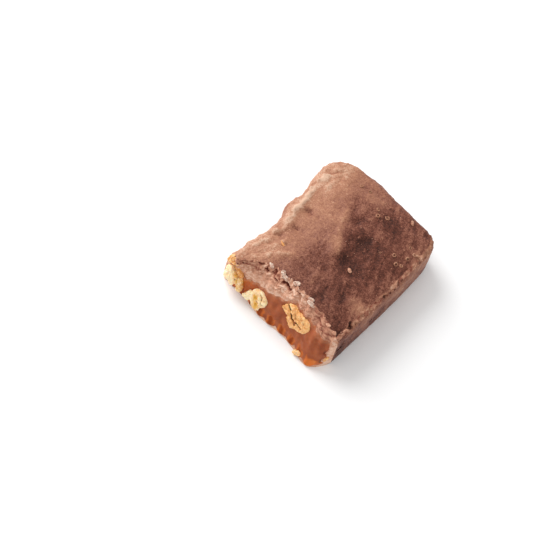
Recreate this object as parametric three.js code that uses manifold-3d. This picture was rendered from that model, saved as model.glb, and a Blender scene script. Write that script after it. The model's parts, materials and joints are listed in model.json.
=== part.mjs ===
// Half of a milk chocolate bar filled with caramel and peanuts, snapped across so that one end shows
// the filling. It lies flat: X runs across the bar, Y along it with the broken end at -Y, and Z is up.
// Lengths are in millimetres. The origin is on the surface it lies on, under the middle of its box.

import * as THREE from "three";
import { mergeVertices } from "three/addons/utils/BufferGeometryUtils.js";
import Module from "manifold-3d";

const { clamp, degToRad, lerp, mapLinear, seededRandom, smoothstep } = THREE.MathUtils;
const wasm = await Module();
wasm.setup();

// Size of the bar
const WIDTH = 46.4;
const EDGE_HEIGHT = 13.4;
const CROWN = 2.4;
const FAR_END = 31;
const CORNER_RADIUS = 6.6;
const LEFT_TOP_RADIUS = 3.6;
const RIGHT_TOP_RADIUS = 2.2;
const FOOT_RADIUS = 1.2;

// Thickness of the chocolate over the filling, and the clearance between separate pieces
const LID_COAT = 3.2;
const SIDE_COAT = 1.7;
const END_COAT = 2.4;
const FLOOR_COAT = 1;
const GAP = 0.3;

// How far each long side bulges out of the straight bar, as [place along, bulge], and the same for
// the whole end, as [place across, bulge]
const LEFT_BULGE = [
  [-28, 0], [-19, -0.6], [-10, -2.1], [-2, -1.9], [4, 0.2], [13, -0.7], [21, 1], [31, 0.7],
];
const RIGHT_BULGE = [[-28, -0.3], [-8, 0.5], [8, 0.9], [20, 0.7], [31, 0.2]];
const END_BULGE = [[-23, 1.6], [-13, 2.6], [-6, 2.5], [3, 0.6], [12, -0.9], [23, -2.3]];

// Lumps and hollows of the top, where the filling pushes up or sinks: [across, along, radius, height]
const LUMPS = [
  [-14, 19, 9, 0.7],
  [-2, 4, 8, 0.8],
  [-13, -2, 6, -0.6],
  [9, 1, 8, -0.6],
  [8, 18, 9, -0.5],
  [14, -13, 7, 0.4],
  [-10, -14, 6, 0.4],
];

// The break seen from above, as [across, along]: its top edge, and its foot
const LIP = [
  [-23.2, -26], [-19, -25.4], [-17, -24.4], [-11.5, -21],
  [-4, -20.6], [8, -22.1], [17.5, -24.4], [23.2, -26.6],
];
const FOOT = [
  [-23.2, -26.6], [-13, -27.8], [-4, -29.9], [5, -30], [11, -31.2], [18, -33], [20.4, -31.2], [23.2, -27],
];

// The break seen from the side: the lid of chocolate chips off at a flatter slope than the filling.
// Both values are shares, of the bar's height and of the way from foot to lip.
const SEAM_HEIGHT = 0.76;
const SEAM_REACH = 0.5;
const CRAG_DEPTH = 0.55;
const CRAG_PITCH = 3.1;

// Caramel hangs over the foot of the break in drips, and swells a little between them and the lid
const DRIP_DEPTH = 0.5;
const DRIP_PITCH = 4.6;
const DRIP_PLACE = -0.4;
const DRIP_HEIGHT = 4;
const SWELL = 0.5;

// At the break, the lid reaches further down over the filling by [place across, drop], and the floor
// stands up between the drips. Both fade out within a share of the bar's length.
const SEAM_DROP = [
  [-22, 1.5], [-16, 3.1], [-12.5, 2.9], [-8, 2.3], [-4, 1.5], [0, 0.4], [3, -0.5], [10, -0.8], [22, -0.5],
];
const FLOOR_SCALLOP = 0.6;
const BREAK_REACH = 0.12;

// Flakes of chocolate that the break left along the lip, as [place across, half length], with the
// share of that length that is their width and height
const FLAKES = [
  [-15, 0.6], [-9.6, 1.1], [-4.6, 1.3], [-2.4, 0.6], [0.6, 1.4], [4.1, 1],
  [6.1, 0.9], [8.2, 1.4], [12.6, 0.6], [16.7, 1], [19.9, 1], [22.2, 0.6],
];
const FLAKE_WIDTH = 0.6;
const FLAKE_HEIGHT = 0.42;
const FLAKE_TILT = 1.2;
const FLAKE_SEED = 7;

// Small pits where bubbles broke through the coat: [across, along, radius]
const PITS = [[21.2, -18.5, 0.9], [22.6, -19.4, 0.95], [22.7, -2.9, 0.75]];
const PIT_SINK = 0.2;

// The middle of the filling's broken face, and how far that face leans back from upright
const FACE_MIDDLE = [0, -27.6, 6.8];
const FACE_LEAN = 21.7;

// Peanuts that the break shows. `edge` is the line round each one, in points [across, up the face].
// `out` is how far its middle lies out of the face, `depth` is half its depth, and `front` is the share
// of that where it is broken off flat. `lean` is how much further out it lies for each millimetre across.
// `split` is the line between the kernel's halves, where it shows.
const ROASTED = { color: 0xd9a059, roughness: 0.5, metalness: 0 };
const PALE = { color: 0xecc891, roughness: 0.55, metalness: 0 };
const PEANUTS = {
  peanut_half: {
    edge: [
      [0.8, 2.8], [1.4, 4.2], [2.2, 5.3], [3.7, 6.1], [5.1, 6.1], [6.1, 5.8], [7.2, 5.6], [9.3, 5.5],
      [11, 5.2], [12.2, 4.5], [12.9, 3.5], [12.8, 2.3], [12.2, 1.2], [10.6, -0.1], [9.2, -0.5],
      [8.2, -0.7], [7.2, -1.3], [6.3, -1.5], [5, -0.7], [3.9, 0.5], [3.5, 1.8], [2.3, 2],
    ],
    out: -0.4, depth: 3, front: 0.62, lean: 0.13, split: [[3, 4.7], [7.8, 0.6]], look: ROASTED,
  },
  peanut_round: {
    edge: [
      [-10.6, -3.1], [-10.7, -1.2], [-10.2, 0.9], [-8.6, 1.8], [-7, 2], [-5.4, 1.4], [-4.4, 0.5],
      [-4, -1.1], [-4.6, -2.7], [-5.7, -3.9], [-6.1, -5.1], [-7.5, -5.5], [-8.6, -5.2],
      [-9.6, -3.9],
    ],
    out: -2.2, depth: 4, front: 0.72, split: [[-7.6, 1.2], [-5.4, -1.8]], look: PALE,
  },
  peanut_corner: {
    edge: [
      [-21.7, -1.3], [-21.9, -0.2], [-21.7, 1.2], [-21.9, 2.3], [-20.7, 3.5], [-20, 3.5],
      [-19.3, 2.6], [-18.4, 2.1], [-17.8, 1.3], [-17.2, 1.1], [-16.7, 0.3], [-16.2, -0.4],
      [-16.3, -1.2], [-16.9, -1.9], [-17.5, -2.7], [-18.4, -2.8], [-19.4, -2.1], [-20.4, -2],
      [-21.3, -1.9],
    ],
    out: -0.2, depth: 2.4, front: 0.75, look: PALE,
  },
  peanut_shard: {
    edge: [
      [-20.5, 4.3], [-19.4, 4.9], [-18.4, 5], [-17.9, 4.1], [-17.5, 3.3], [-16.7, 2.7],
      [-15.9, 2.1], [-15.7, 1.2], [-16.5, 0.7], [-17.6, 0.8], [-18.5, 2.1], [-19.5, 2.8],
      [-20.3, 3.4],
    ],
    out: -0.9, depth: 1.6, front: 0.8, look: ROASTED,
  },
  peanut_crumb: {
    edge: [
      [-22.8, 4.1], [-22.7, 5.4], [-22, 6.5], [-21.3, 7], [-20.3, 7.1], [-19.7, 6.9], [-18.8, 6.8],
      [-18.2, 6], [-18.4, 5], [-19.1, 4.2], [-20.1, 3.9], [-21, 3.8], [-22.2, 3.6],
    ],
    out: -0.4, depth: 1.7, front: 0.8, look: ROASTED,
  },
  peanut_tooth: {
    edge: [
      [-17.3, -0.5], [-16.1, 0.9], [-15.5, 0.6], [-14.8, -0.9], [-14.2, -2.2], [-14.1, -3.6],
      [-14.7, -4], [-15.5, -3.7], [-16.1, -2.7], [-16.9, -1.7],
    ],
    out: -0.4, depth: 1.6, front: 0.8, look: PALE,
  },
  peanut_sliver: {
    edge: [
      [-13.1, -4], [-12.2, -2.4], [-10.9, -0.7], [-10.2, -1.6], [-10, -3.3], [-10.6, -4.4],
      [-12, -4.6],
    ],
    out: -0.6, depth: 1.4, front: 0.8, look: PALE,
  },
  peanut_chip_side: {
    edge: [[20.4, -4.2], [20.3, -3], [21, -2], [21.7, -1.7], [22.3, -2.4], [21.9, -3.4], [21, -4.6]],
    out: -0.6, depth: 1.2, front: 0.8, look: ROASTED,
  },
  peanut_chip_foot: {
    edge: [
      [11.3, -7.5], [11.8, -6.3], [12.8, -5.9], [14.1, -5.5], [14.6, -6.1], [13.6, -7.5], [12.2, -7.9],
    ],
    out: 2, depth: 1, front: 0.8, look: ROASTED,
  },
};
const SPLIT_DEPTH = 0.6;
const SPLIT_WIDTH = 0.9;
const SLANT_STEP = 0.05; // how far apart, in radians, the edge is sampled to find its slant

// How finely each form is divided: across, along and up
const COAT_SEGMENTS = [34, 20, 8];
const FILLING_SEGMENTS = [28, 10, 6];
const KERNEL_SEGMENTS = [18, 10];
const CHIP_SEGMENTS = [9, 6];
const CHIP_LENGTH = 5; // pieces of nut shorter than this are chips
const CROWDING = 0.1; // how strongly the divisions crowd towards the ends of each edge

const CHOCOLATE = { color: 0x8f5f4d, roughness: 0.62, metalness: 0 };
const CARAMEL = { color: 0xa8603a, roughness: 0.28, metalness: 0 };

// A smooth curve through the points of a graph, as a function
function through(points) {
  const places = points.map(([place]) => place);
  const curve = new THREE.CubicInterpolant(places, points.map(([, value]) => value), 1, [0]);
  return (place) => curve.evaluate(clamp(place, places[0], places.at(-1)))[0];
}

const leftBulge = through(LEFT_BULGE);
const rightBulge = through(RIGHT_BULGE);
const endBulge = through(END_BULGE);
const lipLine = through(LIP);
const footLine = through(FOOT);
const seamDrop = through(SEAM_DROP);

// Pulls a point of a square corner onto the round corner inside it, given its two distances past the
// round corner's centre
function roundOff(first, second) {
  const pull = first > 0 && second > 0 ? Math.max(first, second) / Math.hypot(first, second) : 1;
  return [first * pull, second * pull];
}

// How much higher the top is here than at the bar's edges
function rise(x, y) {
  const acrossShare = clamp(1 - (2 * x / WIDTH) ** 2, 0, 1);
  const endShare = smoothstep(FAR_END - y, -2, 12);
  const lumps = LUMPS.map(([across, along, radius, height]) => {
    return height * Math.exp(-((x - across) ** 2 + (y - along) ** 2) / radius ** 2);
  });
  return CROWN * acrossShare * endShare + lumps.reduce((sum, lump) => sum + lump, 0) * acrossShare;
}

// How high the top is at a place near a long side, where it rounds off
function topAt(x, y) {
  const bulge = x < 0 ? leftBulge(y) : rightBulge(y);
  const radius = x < 0 ? LEFT_TOP_RADIUS : RIGHT_TOP_RADIUS;
  const inset = clamp(WIDTH / 2 + bulge - Math.abs(x), 0, radius);
  const drop = radius - Math.sqrt(radius ** 2 - (radius - inset) ** 2);
  return (EDGE_HEIGHT - drop) * (1 + rise(x, y) / EDGE_HEIGHT);
}

// How far along the bar the break lies, at a place across it and a height
function breakAt(x, z) {
  const share = clamp(z / EDGE_HEIGHT, 0, 1);
  const inLid = share > SEAM_HEIGHT;
  const reach = inLid
    ? mapLinear(share, SEAM_HEIGHT, 1, SEAM_REACH, 1)
    : mapLinear(share, 0, SEAM_HEIGHT, 0, SEAM_REACH);
  const wave = 2 * Math.PI / CRAG_PITCH;
  const crag = Math.sin(wave * x + 6 * share) + Math.sin(0.43 * wave * x - 4 * share);
  return lerp(footLine(x), lipLine(x), reach) + CRAG_DEPTH * share * crag / 2;
}

// 1 at the middle of each drip, and 0 halfway between two
function dripAt(x) {
  return 0.5 + 0.5 * Math.cos(2 * Math.PI * (x - DRIP_PLACE) / DRIP_PITCH);
}

// Where the break lies for the caramel, which swells and drips past the chocolate
function caramelAt(x, z) {
  const drip = DRIP_DEPTH * dripAt(x) * smoothstep(DRIP_HEIGHT - z, 0, DRIP_HEIGHT);
  const swell = SWELL * Math.sin(Math.PI * clamp(z / (EDGE_HEIGHT - LID_COAT), 0, 1));
  return breakAt(x, z) - drip - swell;
}

// Where a place in the bar lies: across runs from -1 to 1, along and up from 0 to 1. `cover` says how
// far the form's faces lie inside the chocolate's outer faces, and `near` where its open end is.
function barPoint(across, along, up, cover, near) {
  const half = WIDTH / 2 - cover.side;
  const fillingX = across * (WIDTH / 2 - SIDE_COAT);
  const atBreak = cover.lid > 0 ? 1 - smoothstep(along, 0, BREAK_REACH) : 0;
  const top = EDGE_HEIGHT - cover.lid - atBreak * seamDrop(fillingX);
  const floor = cover.floor + atBreak * FLOOR_SCALLOP * (1 - dripAt(fillingX)) ** 1.5;
  const plainX = across * half;
  const plainZ = lerp(floor, top, up);
  const end = FAR_END + endBulge(plainX) - cover.end;
  const plainY = lerp(near(plainX, plainZ), end, along);
  const side = Math.sign(plainX);

  // Round the two corners of the whole end
  const radius = CORNER_RADIUS - cover.side;
  const pastX = Math.abs(plainX) - (half - radius);
  const pastY = plainY - (end - radius);
  const [roundX, roundY] = roundOff(pastX, pastY);
  let x = side * (half - radius + roundX);
  let y = end - radius + roundY;

  // Round the upper and lower edges, by moving points near them inwards
  const inset = Math.min(half - Math.abs(plainX), end - plainY);
  const topRadius = lerp(LEFT_TOP_RADIUS, RIGHT_TOP_RADIUS, (across + 1) / 2) - cover.side;
  const pastTop = plainZ - (top - topRadius);
  const pastFoot = floor + FOOT_RADIUS - plainZ;
  const [topOut, topUp] = roundOff(topRadius - inset, pastTop);
  const [footOut, footDown] = roundOff(FOOT_RADIUS - inset, pastFoot);
  const moved = topRadius - inset - topOut + FOOT_RADIUS - inset - footOut;
  const inCorner = pastX > 0 && pastY > 0;
  const nearSide = half - Math.abs(plainX) < end - plainY;
  const inward = new THREE.Vector2(nearSide ? -side : 0, nearSide ? 0 : -1);
  if (inCorner) inward.set(-side * roundX, -roundY).normalize();
  x += inward.x * moved;
  y += inward.y * moved;
  const z = plainZ + topUp - pastTop - (footDown - pastFoot);

  const bulge = lerp(-leftBulge(y), rightBulge(y), (across + 1) / 2);
  return new THREE.Vector3(x + bulge, y, z * (1 + rise(x, y) / EDGE_HEIGHT));
}

// Moves divisions that are evenly spaced from 0 to 1 towards both ends
function crowd(share) {
  return share - CROWDING * Math.sin(2 * Math.PI * share);
}

// Keeps only the positions of a geometry and joins its shared corners, so that it is one closed surface
function closedSurface(geometry) {
  geometry.deleteAttribute("normal");
  geometry.deleteAttribute("uv");
  return mergeVertices(geometry, 1e-4);
}

// Moves every corner of a geometry to where `place` puts it
function reshape(geometry, place) {
  const positions = geometry.getAttribute("position");
  const corner = new THREE.Vector3();
  for (let i = 0; i < positions.count; i++) {
    const moved = place(corner.fromBufferAttribute(positions, i));
    positions.setXYZ(i, moved.x, moved.y, moved.z);
  }
  return geometry;
}

// A solid block in the bar's form
function barBlock(cover, near, segments) {
  const box = closedSurface(new THREE.BoxGeometry(2, 2, 2, ...segments));
  return reshape(box, (p) => {
    return barPoint(p.x, crowd((p.y + 1) / 2), crowd((p.z + 1) / 2), cover, near);
  });
}

// A geometry as a solid that can be joined and cut
function solidOf(geometry, matrix = new THREE.Matrix4()) {
  const placed = geometry.clone().applyMatrix4(matrix);
  return new wasm.Manifold(new wasm.Mesh({
    numProp: 3,
    vertProperties: new Float32Array(placed.getAttribute("position").array),
    triVerts: new Uint32Array(placed.index.array),
  }));
}

// A joined or cut solid as a geometry, without the loose specks that cuts can leave
function geometryOf(solid) {
  const bodies = solid.decompose().sort((first, second) => second.volume() - first.volume());
  const { vertProperties, triVerts } = bodies[0].getMesh();
  const geometry = new THREE.BufferGeometry();
  geometry.setAttribute("position", new THREE.BufferAttribute(vertProperties, 3));
  geometry.setIndex(new THREE.BufferAttribute(triVerts, 1));
  geometry.computeVertexNormals();
  return geometry;
}

// How far the edge of a piece of nut is from its middle, as a function of the direction
function reachOf(edge, middle) {
  const spokes = edge.map((point) => {
    const spoke = point.clone().sub(middle);
    return [spoke.angle(), spoke.length()];
  });
  spokes.sort(([first], [second]) => first - second);
  const turns = [-1, 0, 1].map((turn) => 2 * Math.PI * turn);
  return through(turns.flatMap((turn) => spokes.map(([angle, length]) => [angle + turn, length])));
}

// A piece of nut in its place on the broken face, grown by `extra` all round
function kernelSolid({ edge, out, depth, front, lean = 0, split }, extra) {
  const points = edge.map((point) => new THREE.Vector2(...point));
  const box = new THREE.Box2().setFromPoints(points);
  const middle = box.getCenter(new THREE.Vector2());
  const reach = reachOf(points, middle);
  const splitLine = split && new THREE.Line3(...split.map(([x, y]) => new THREE.Vector3(x, y, 0)));
  const segments = box.max.x - box.min.x < CHIP_LENGTH ? CHIP_SEGMENTS : KERNEL_SEGMENTS;
  const ball = closedSurface(new THREE.SphereGeometry(1, ...segments).rotateX(Math.PI / 2));
  reshape(ball, (p) => {
    const angle = Math.atan2(p.y, p.x);
    const length = reach(angle);
    const slant = (reach(angle + SLANT_STEP) - reach(angle - SLANT_STEP)) / (2 * SLANT_STEP * length);
    const ring = Math.hypot(p.x, p.y);
    const share = p.z > 0 ? Math.min(1, ring / Math.sqrt(1 - front ** 2)) : ring;
    const spoke = share * (length + extra * Math.hypot(1, slant));
    const onEdge = new THREE.Vector2(spoke, 0).rotateAround(new THREE.Vector2(), angle).add(middle);
    const place = new THREE.Vector3(onEdge.x, onEdge.y, 0);
    let groove = 0;
    if (splitLine && p.z > 0) {
      const onSplit = splitLine.closestPointToPoint(place, true, new THREE.Vector3());
      groove = SPLIT_DEPTH * Math.exp(-((place.distanceTo(onSplit) / SPLIT_WIDTH) ** 2));
    }
    const middleOut = out + lean * (place.x - middle.x);
    return place.setZ(middleOut + Math.min(p.z * (depth + extra), front * depth + extra) - groove);
  });
  const onFace = new THREE.Matrix4().makeRotationX(degToRad(90 - FACE_LEAN)).setPosition(...FACE_MIDDLE);
  return solidOf(ball, onFace);
}

// The peanuts, each with the room that it takes up, clearance and all. Where two touch, the later one
// gives way to the earlier one.
function makePeanuts() {
  const peanuts = [];
  for (const [name, shape] of Object.entries(PEANUTS)) {
    const solid = peanuts.reduce((rest, { room }) => rest.subtract(room), kernelSolid(shape, 0));
    const mesh = new THREE.Mesh(geometryOf(solid), new THREE.MeshStandardMaterial(shape.look));
    mesh.name = name;
    peanuts.push({ mesh, room: kernelSolid(shape, GAP) });
  }
  return peanuts;
}

// Flakes that lie along the lip of the break, as solids
function makeFlakes() {
  seededRandom(FLAKE_SEED);
  const tilt = () => FLAKE_TILT * (seededRandom() - 0.5);
  return FLAKES.map(([x, length]) => {
    const y = breakAt(x, EDGE_HEIGHT) + length / 4;
    const alongLip = Math.atan2(lipLine(x + 1) - lipLine(x - 1), 2);
    const placed = new THREE.Matrix4().compose(
      new THREE.Vector3(x, y, topAt(x, y)),
      new THREE.Quaternion().setFromEuler(new THREE.Euler(tilt(), tilt(), alongLip + tilt())),
      new THREE.Vector3(1, FLAKE_WIDTH, FLAKE_HEIGHT).multiplyScalar(length),
    );
    return solidOf(closedSurface(new THREE.IcosahedronGeometry(1, 0)), placed);
  });
}

// Pits in the top, as solids to cut away
function makePits() {
  return PITS.map(([x, y, radius]) => {
    const placed = new THREE.Matrix4().makeTranslation(x, y, topAt(x, y) + PIT_SINK);
    return solidOf(closedSurface(new THREE.IcosahedronGeometry(radius, 1)), placed);
  });
}

// The chocolate all round the filling, open at the break
function makeCoat(peanuts) {
  const outside = { side: 0, lid: 0, floor: 0, end: 0 };
  const inside = { side: SIDE_COAT, lid: LID_COAT, floor: FLOOR_COAT, end: END_COAT };
  const cavity = barBlock(inside, (x, z) => caramelAt(x, z) - GAP, FILLING_SEGMENTS);
  let coat = solidOf(barBlock(outside, breakAt, COAT_SEGMENTS));
  for (const flake of makeFlakes()) coat = coat.add(flake);
  for (const pit of makePits()) coat = coat.subtract(pit);
  coat = coat.subtract(solidOf(cavity));
  for (const { room } of peanuts) coat = coat.subtract(room);
  const mesh = new THREE.Mesh(geometryOf(coat), new THREE.MeshStandardMaterial(CHOCOLATE));
  mesh.name = "chocolate_coat";
  return mesh;
}

// The caramel that fills the coat, with a hollow for each peanut
function makeCaramel(peanuts) {
  const inside = {
    side: SIDE_COAT + GAP,
    lid: LID_COAT + GAP,
    floor: FLOOR_COAT + GAP,
    end: END_COAT + GAP,
  };
  let caramel = solidOf(barBlock(inside, caramelAt, FILLING_SEGMENTS));
  for (const { room } of peanuts) caramel = caramel.subtract(room);
  const mesh = new THREE.Mesh(geometryOf(caramel), new THREE.MeshStandardMaterial(CARAMEL));
  mesh.name = "caramel_filling";
  return mesh;
}

const bar = new THREE.Group();
const peanuts = makePeanuts();
bar.add(makeCoat(peanuts), makeCaramel(peanuts), ...peanuts.map(({ mesh }) => mesh));

// Bring the origin under the middle of the whole piece
const middle = new THREE.Box3().setFromObject(bar).getCenter(new THREE.Vector3());
bar.position.set(-middle.x, -middle.y, 0);

const halfBar = new THREE.Group();
halfBar.add(bar);

export default halfBar;
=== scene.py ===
# %% [markdown]
# A caramel chocolate bar, broken across
# The bar is a block of caramel with peanuts in it, poured over with milk chocolate and then snapped by hand.
# The part's plain solids are loaded first and fix where everything is. Each one is then made again here in
# the same place, with the fine relief and the finishes that the eye expects of chocolate, caramel and nuts.

# %% Load the plain solids
import json
import math
import bmesh
import bpy
import numpy as np
from mathutils import Matrix, Vector, kdtree, noise

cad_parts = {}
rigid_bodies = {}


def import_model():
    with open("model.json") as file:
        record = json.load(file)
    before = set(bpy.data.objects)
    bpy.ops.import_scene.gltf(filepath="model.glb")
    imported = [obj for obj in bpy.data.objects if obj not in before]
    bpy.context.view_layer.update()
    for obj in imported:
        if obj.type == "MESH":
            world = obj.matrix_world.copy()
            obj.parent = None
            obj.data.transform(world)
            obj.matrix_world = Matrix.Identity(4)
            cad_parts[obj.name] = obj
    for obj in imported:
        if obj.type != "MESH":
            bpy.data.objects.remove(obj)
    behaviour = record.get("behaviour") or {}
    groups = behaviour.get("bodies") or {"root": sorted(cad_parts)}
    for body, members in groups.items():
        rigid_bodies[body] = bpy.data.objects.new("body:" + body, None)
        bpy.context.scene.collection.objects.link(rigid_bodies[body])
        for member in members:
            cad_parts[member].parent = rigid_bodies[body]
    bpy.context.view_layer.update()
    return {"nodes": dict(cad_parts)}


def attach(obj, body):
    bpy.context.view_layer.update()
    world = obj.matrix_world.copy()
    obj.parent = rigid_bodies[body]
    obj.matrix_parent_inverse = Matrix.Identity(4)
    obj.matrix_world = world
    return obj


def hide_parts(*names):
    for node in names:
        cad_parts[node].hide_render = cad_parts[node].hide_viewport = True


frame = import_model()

print("solids to dress:", sorted(frame["nodes"]))

# %% [markdown]
# The measures are the part's own, in millimetres about the middle of the bar. Writing the form as a rule,
# instead of tracing the solids, lets the same bar be drawn again with far smaller faces. Curves that a hand
# or a break made uneven are lists of points with a smooth line through them.

# %% The bar's measures
MM = 0.001
# Where the middle of the bar lies in the shared frame, in mm
PLACE = np.array([0.0962, -0.3149, 0.0])
WIDTH, EDGE_HEIGHT, CROWN, FAR_END = 46.4, 13.4, 2.4, 31.0
CORNER_RADIUS, LEFT_TOP_RADIUS, RIGHT_TOP_RADIUS, FOOT_RADIUS = 6.6, 3.6, 2.2, 1.2
SIDE_COAT, LID_COAT, FLOOR_COAT, END_COAT = 1.7, 3.2, 1.0, 2.4


def through(points):
    """A smooth curve through points, each [place, value], that stays level past its ends."""
    at, value = np.array(points, float).T
    steps = np.diff(value) / np.diff(at)
    slope = np.concatenate([steps[:1], (steps[1:] + steps[:-1]) / 2, steps[-1:]])

    def curve(x):
        x = np.clip(x, at[0], at[-1])
        i = np.clip(np.searchsorted(at, x) - 1, 0, len(at) - 2)
        gap = at[i + 1] - at[i]
        t = (x - at[i]) / gap
        ends = value[i] * (1 + 2 * t) * (1 - t) ** 2 + value[i + 1] * t * t * (3 - 2 * t)
        return ends + gap * t * (1 - t) * (slope[i] * (1 - t) - slope[i + 1] * t)

    return curve


# How far the two sides and the end swell, and where the lip, the foot and the seam of the break run
left_bulge = through([[-28, 0], [-19, -0.6], [-10, -2.1], [-2, -1.9],
                      [4, 0.2], [13, -0.7], [21, 1], [31, 0.7]])
right_bulge = through([[-28, -0.3], [-8, 0.5], [8, 0.9], [20, 0.7], [31, 0.2]])
end_bulge = through([[-23, 1.6], [-13, 2.6], [-6, 2.5], [3, 0.6], [12, -0.9], [23, -2.3]])
lip = through([[-23.2, -26], [-19, -25.4], [-17, -24.4], [-11.5, -21],
               [-4, -20.6], [8, -22.1], [17.5, -24.4], [23.2, -26.6]])
foot = through([[-23.2, -26.6], [-13, -27.8], [-4, -29.9], [5, -30],
                [11, -31.2], [18, -33], [20.4, -31.2], [23.2, -27]])
seam_drop = through([[-22, 1.5], [-16, 3.1], [-12.5, 2.9], [-8, 2.3], [-4, 1.5],
                     [0, 0.4], [3, -0.5], [10, -0.8], [22, -0.5]])
print("lip runs from", lip(np.array([-23.2, 0, 23.2])).round(1), "mm at the left, middle and right")

# %% [markdown]
# A chocolate bar's top is a low crown with the lumps of the nuts under it. Lumps that are wide and soft are
# added as bell curves. Small unevenness comes from Blender's own fractal noise, which Python can read point
# by point, so the relief is real geometry and shows in the outline too.

# %% Small helpers for the relief
# Lumps and hollows of the top, each [across, along, radius, height]
LUMPS = [[-14, 19, 9, 0.7], [-2, 4, 8, 0.8], [-13, -2, 6, -0.6], [9, 1, 8, -0.6], [8, 18, 9, -0.5],
         [14, -13, 7, 0.4], [-10, -14, 6, 0.4]]


def mix(a, b, share):
    return a + (b - a) * share


def smooth(x, low, high):
    """0 below low, 1 above high, and a soft step between them."""
    share = np.clip((x - low) / (high - low), 0, 1)
    return share * share * (3 - 2 * share)


def bells(x, y, lumps):
    """Sum of bell curves, each [across, along, radius, height]."""
    return sum(h * np.exp(-((x - a) ** 2 + (y - b) ** 2) / r ** 2) for a, b, r, h in lumps)


def rough(points, size, octaves=3, seed=0):
    """Fractal noise, about -1 to 1, at points in mm; size is how wide a bump is, for all axes or for each."""
    spots = points / np.asarray(size, float) + seed * 17.3
    return np.array([noise.fractal(Vector(p), 0.9, 2.0, octaves) for p in spots.tolist()])


def rise(x, y):
    """How far the top stands above its edges, in mm."""
    middle = np.clip(1 - (2 * x / WIDTH) ** 2, 0, 1)
    return middle * (CROWN * smooth(FAR_END - y, -2, 12) + bells(x, y, LUMPS))


print("crown over the middle of the bar:", round(float(rise(0, 0)), 2), "mm")

# %% [markdown]
# The break leans: it starts at the lip on the top and comes forward on its way down to the foot. Chocolate
# snaps in chips, so the lid's broken edge gets sharp valleys that run with the lip, finer grit, a few cracks
# and a jagged lip. Caramel tears smooth instead: it swells out a little and hangs over the foot in tongues.

# %% The two faces of the break
SEAM_HEIGHT, SEAM_REACH, BREAK_REACH, FLOOR_SCALLOP = 0.76, 0.5, 7.2, 0.6
CRAG_DEPTH, CRAG_PITCH = 0.55, 3.1
DRIP_DEPTH, DRIP_PITCH, DRIP_PLACE, DRIP_HEIGHT, SWELL = 0.5, 4.6, -0.4, 4.0, 0.5
# Each crack is [from across, from height, to across, to height, depth, half width]
CRACKS = [[-3.4, 12.4, 0.2, 11.9, 1.6, 0.24], [-13.6, 12.9, -12.7, 12.7, 0.8, 0.2],
          [-10.8, 12.2, -9.5, 11.8, 0.9, 0.18], [-16, 13.2, -15.4, 13.1, 0.5, 0.2],
          [-8.2, 12.5, -6.8, 12.1, 0.7, 0.15], [-6.4, 11.9, -4.4, 11.5, 0.6, 0.15],
          [2, 12.8, 4.2, 12.2, 0.6, 0.15], [12, 12.4, 15, 12, 0.4, 0.15]]


def near_line(x, y, line):
    """Distance from points to the line from line[:2] to line[2:]."""
    ax, ay, bx, by = line
    run_x, run_y = bx - ax, by - ay
    share = np.clip(((x - ax) * run_x + (y - ay) * run_y) / (run_x ** 2 + run_y ** 2), 0, 1)
    return np.hypot(x - ax - share * run_x, y - ay - share * run_y)


def break_at(x, z):
    share = np.clip(z / EDGE_HEIGHT, 0, 1)
    reach = np.interp(share, [0, SEAM_HEIGHT, 1], [0, SEAM_REACH, 1])
    wave = 2 * math.pi / CRAG_PITCH
    crag = np.sin(wave * x + 6 * share) + np.sin(0.43 * wave * x - 4 * share)
    return mix(foot(x), lip(x), reach) + CRAG_DEPTH * share * crag / 2


def crag_relief(x, z):
    """How far the crumb of the break stands out of its plain face, in mm."""
    spots = np.column_stack([x, 0 * x, z])
    bent = spots + np.outer(rough(spots, 2.4, 2, seed=8), [0, 0, 0.9])
    chips = 0.75 * np.abs(rough(bent, [2.6, 1, 0.95], 4))
    chips = chips + 0.3 * np.abs(rough(bent, [0.9, 1, 0.45], 3, seed=2)) - 0.25
    jag = 0.5 * rough(np.column_stack([x, 0 * x, 0 * x]), 1.3, 3, seed=10) * smooth(z, 12.2, 13.4)
    bent_x = x + 0.25 * bent[:, 2] - 0.25 * z
    bent_z = mix(z, bent[:, 2], 0.35)
    cracks = 0
    for *line, deep, wide in CRACKS:
        cracks = cracks + deep * np.exp(-(near_line(bent_x, bent_z, line) / wide) ** 2)
    return chips * mix(0.3, 1, smooth(z, 9.4, 11)) * mix(1, 0.6, smooth(x, 4, 12)) + jag - cracks


def tongue(x):
    """1 at the middle of each tongue of caramel along the foot, 0 halfway between two."""
    return 0.5 + 0.5 * np.cos(2 * math.pi * (x - DRIP_PLACE) / DRIP_PITCH)


def caramel_at(x, z):
    share = np.clip(z / (EDGE_HEIGHT - LID_COAT), 0, 1)
    hang = smooth(DRIP_HEIGHT - z, 0, DRIP_HEIGHT) * tongue(x)
    return break_at(x, z) - DRIP_DEPTH * hang - SWELL * np.sin(math.pi * share)


print("the break leans forward", round(float(lip(0.0) - foot(0.0)), 1), "mm at the middle")

# %% [markdown]
# Coat and caramel are both a box bent into the bar. A point of the box is given by three shares: across,
# along and up. The rule rounds the far corners and the edges, swells the sides, and lifts the top.
# Subdividing a cube by hand could give the same outline, but a rule keeps the wall between coat and caramel
# even.

# %% Bend a box into the bar
TINY = 1e-9


def round_off(a, b):
    """Pull a corner, a and b past where its rounding starts, in to a quarter circle."""
    both = (a > 0) & (b > 0)
    pull = np.where(both, np.maximum(a, b) / np.maximum(np.hypot(a, b), TINY), 1)
    return a * pull, b * pull


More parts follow.
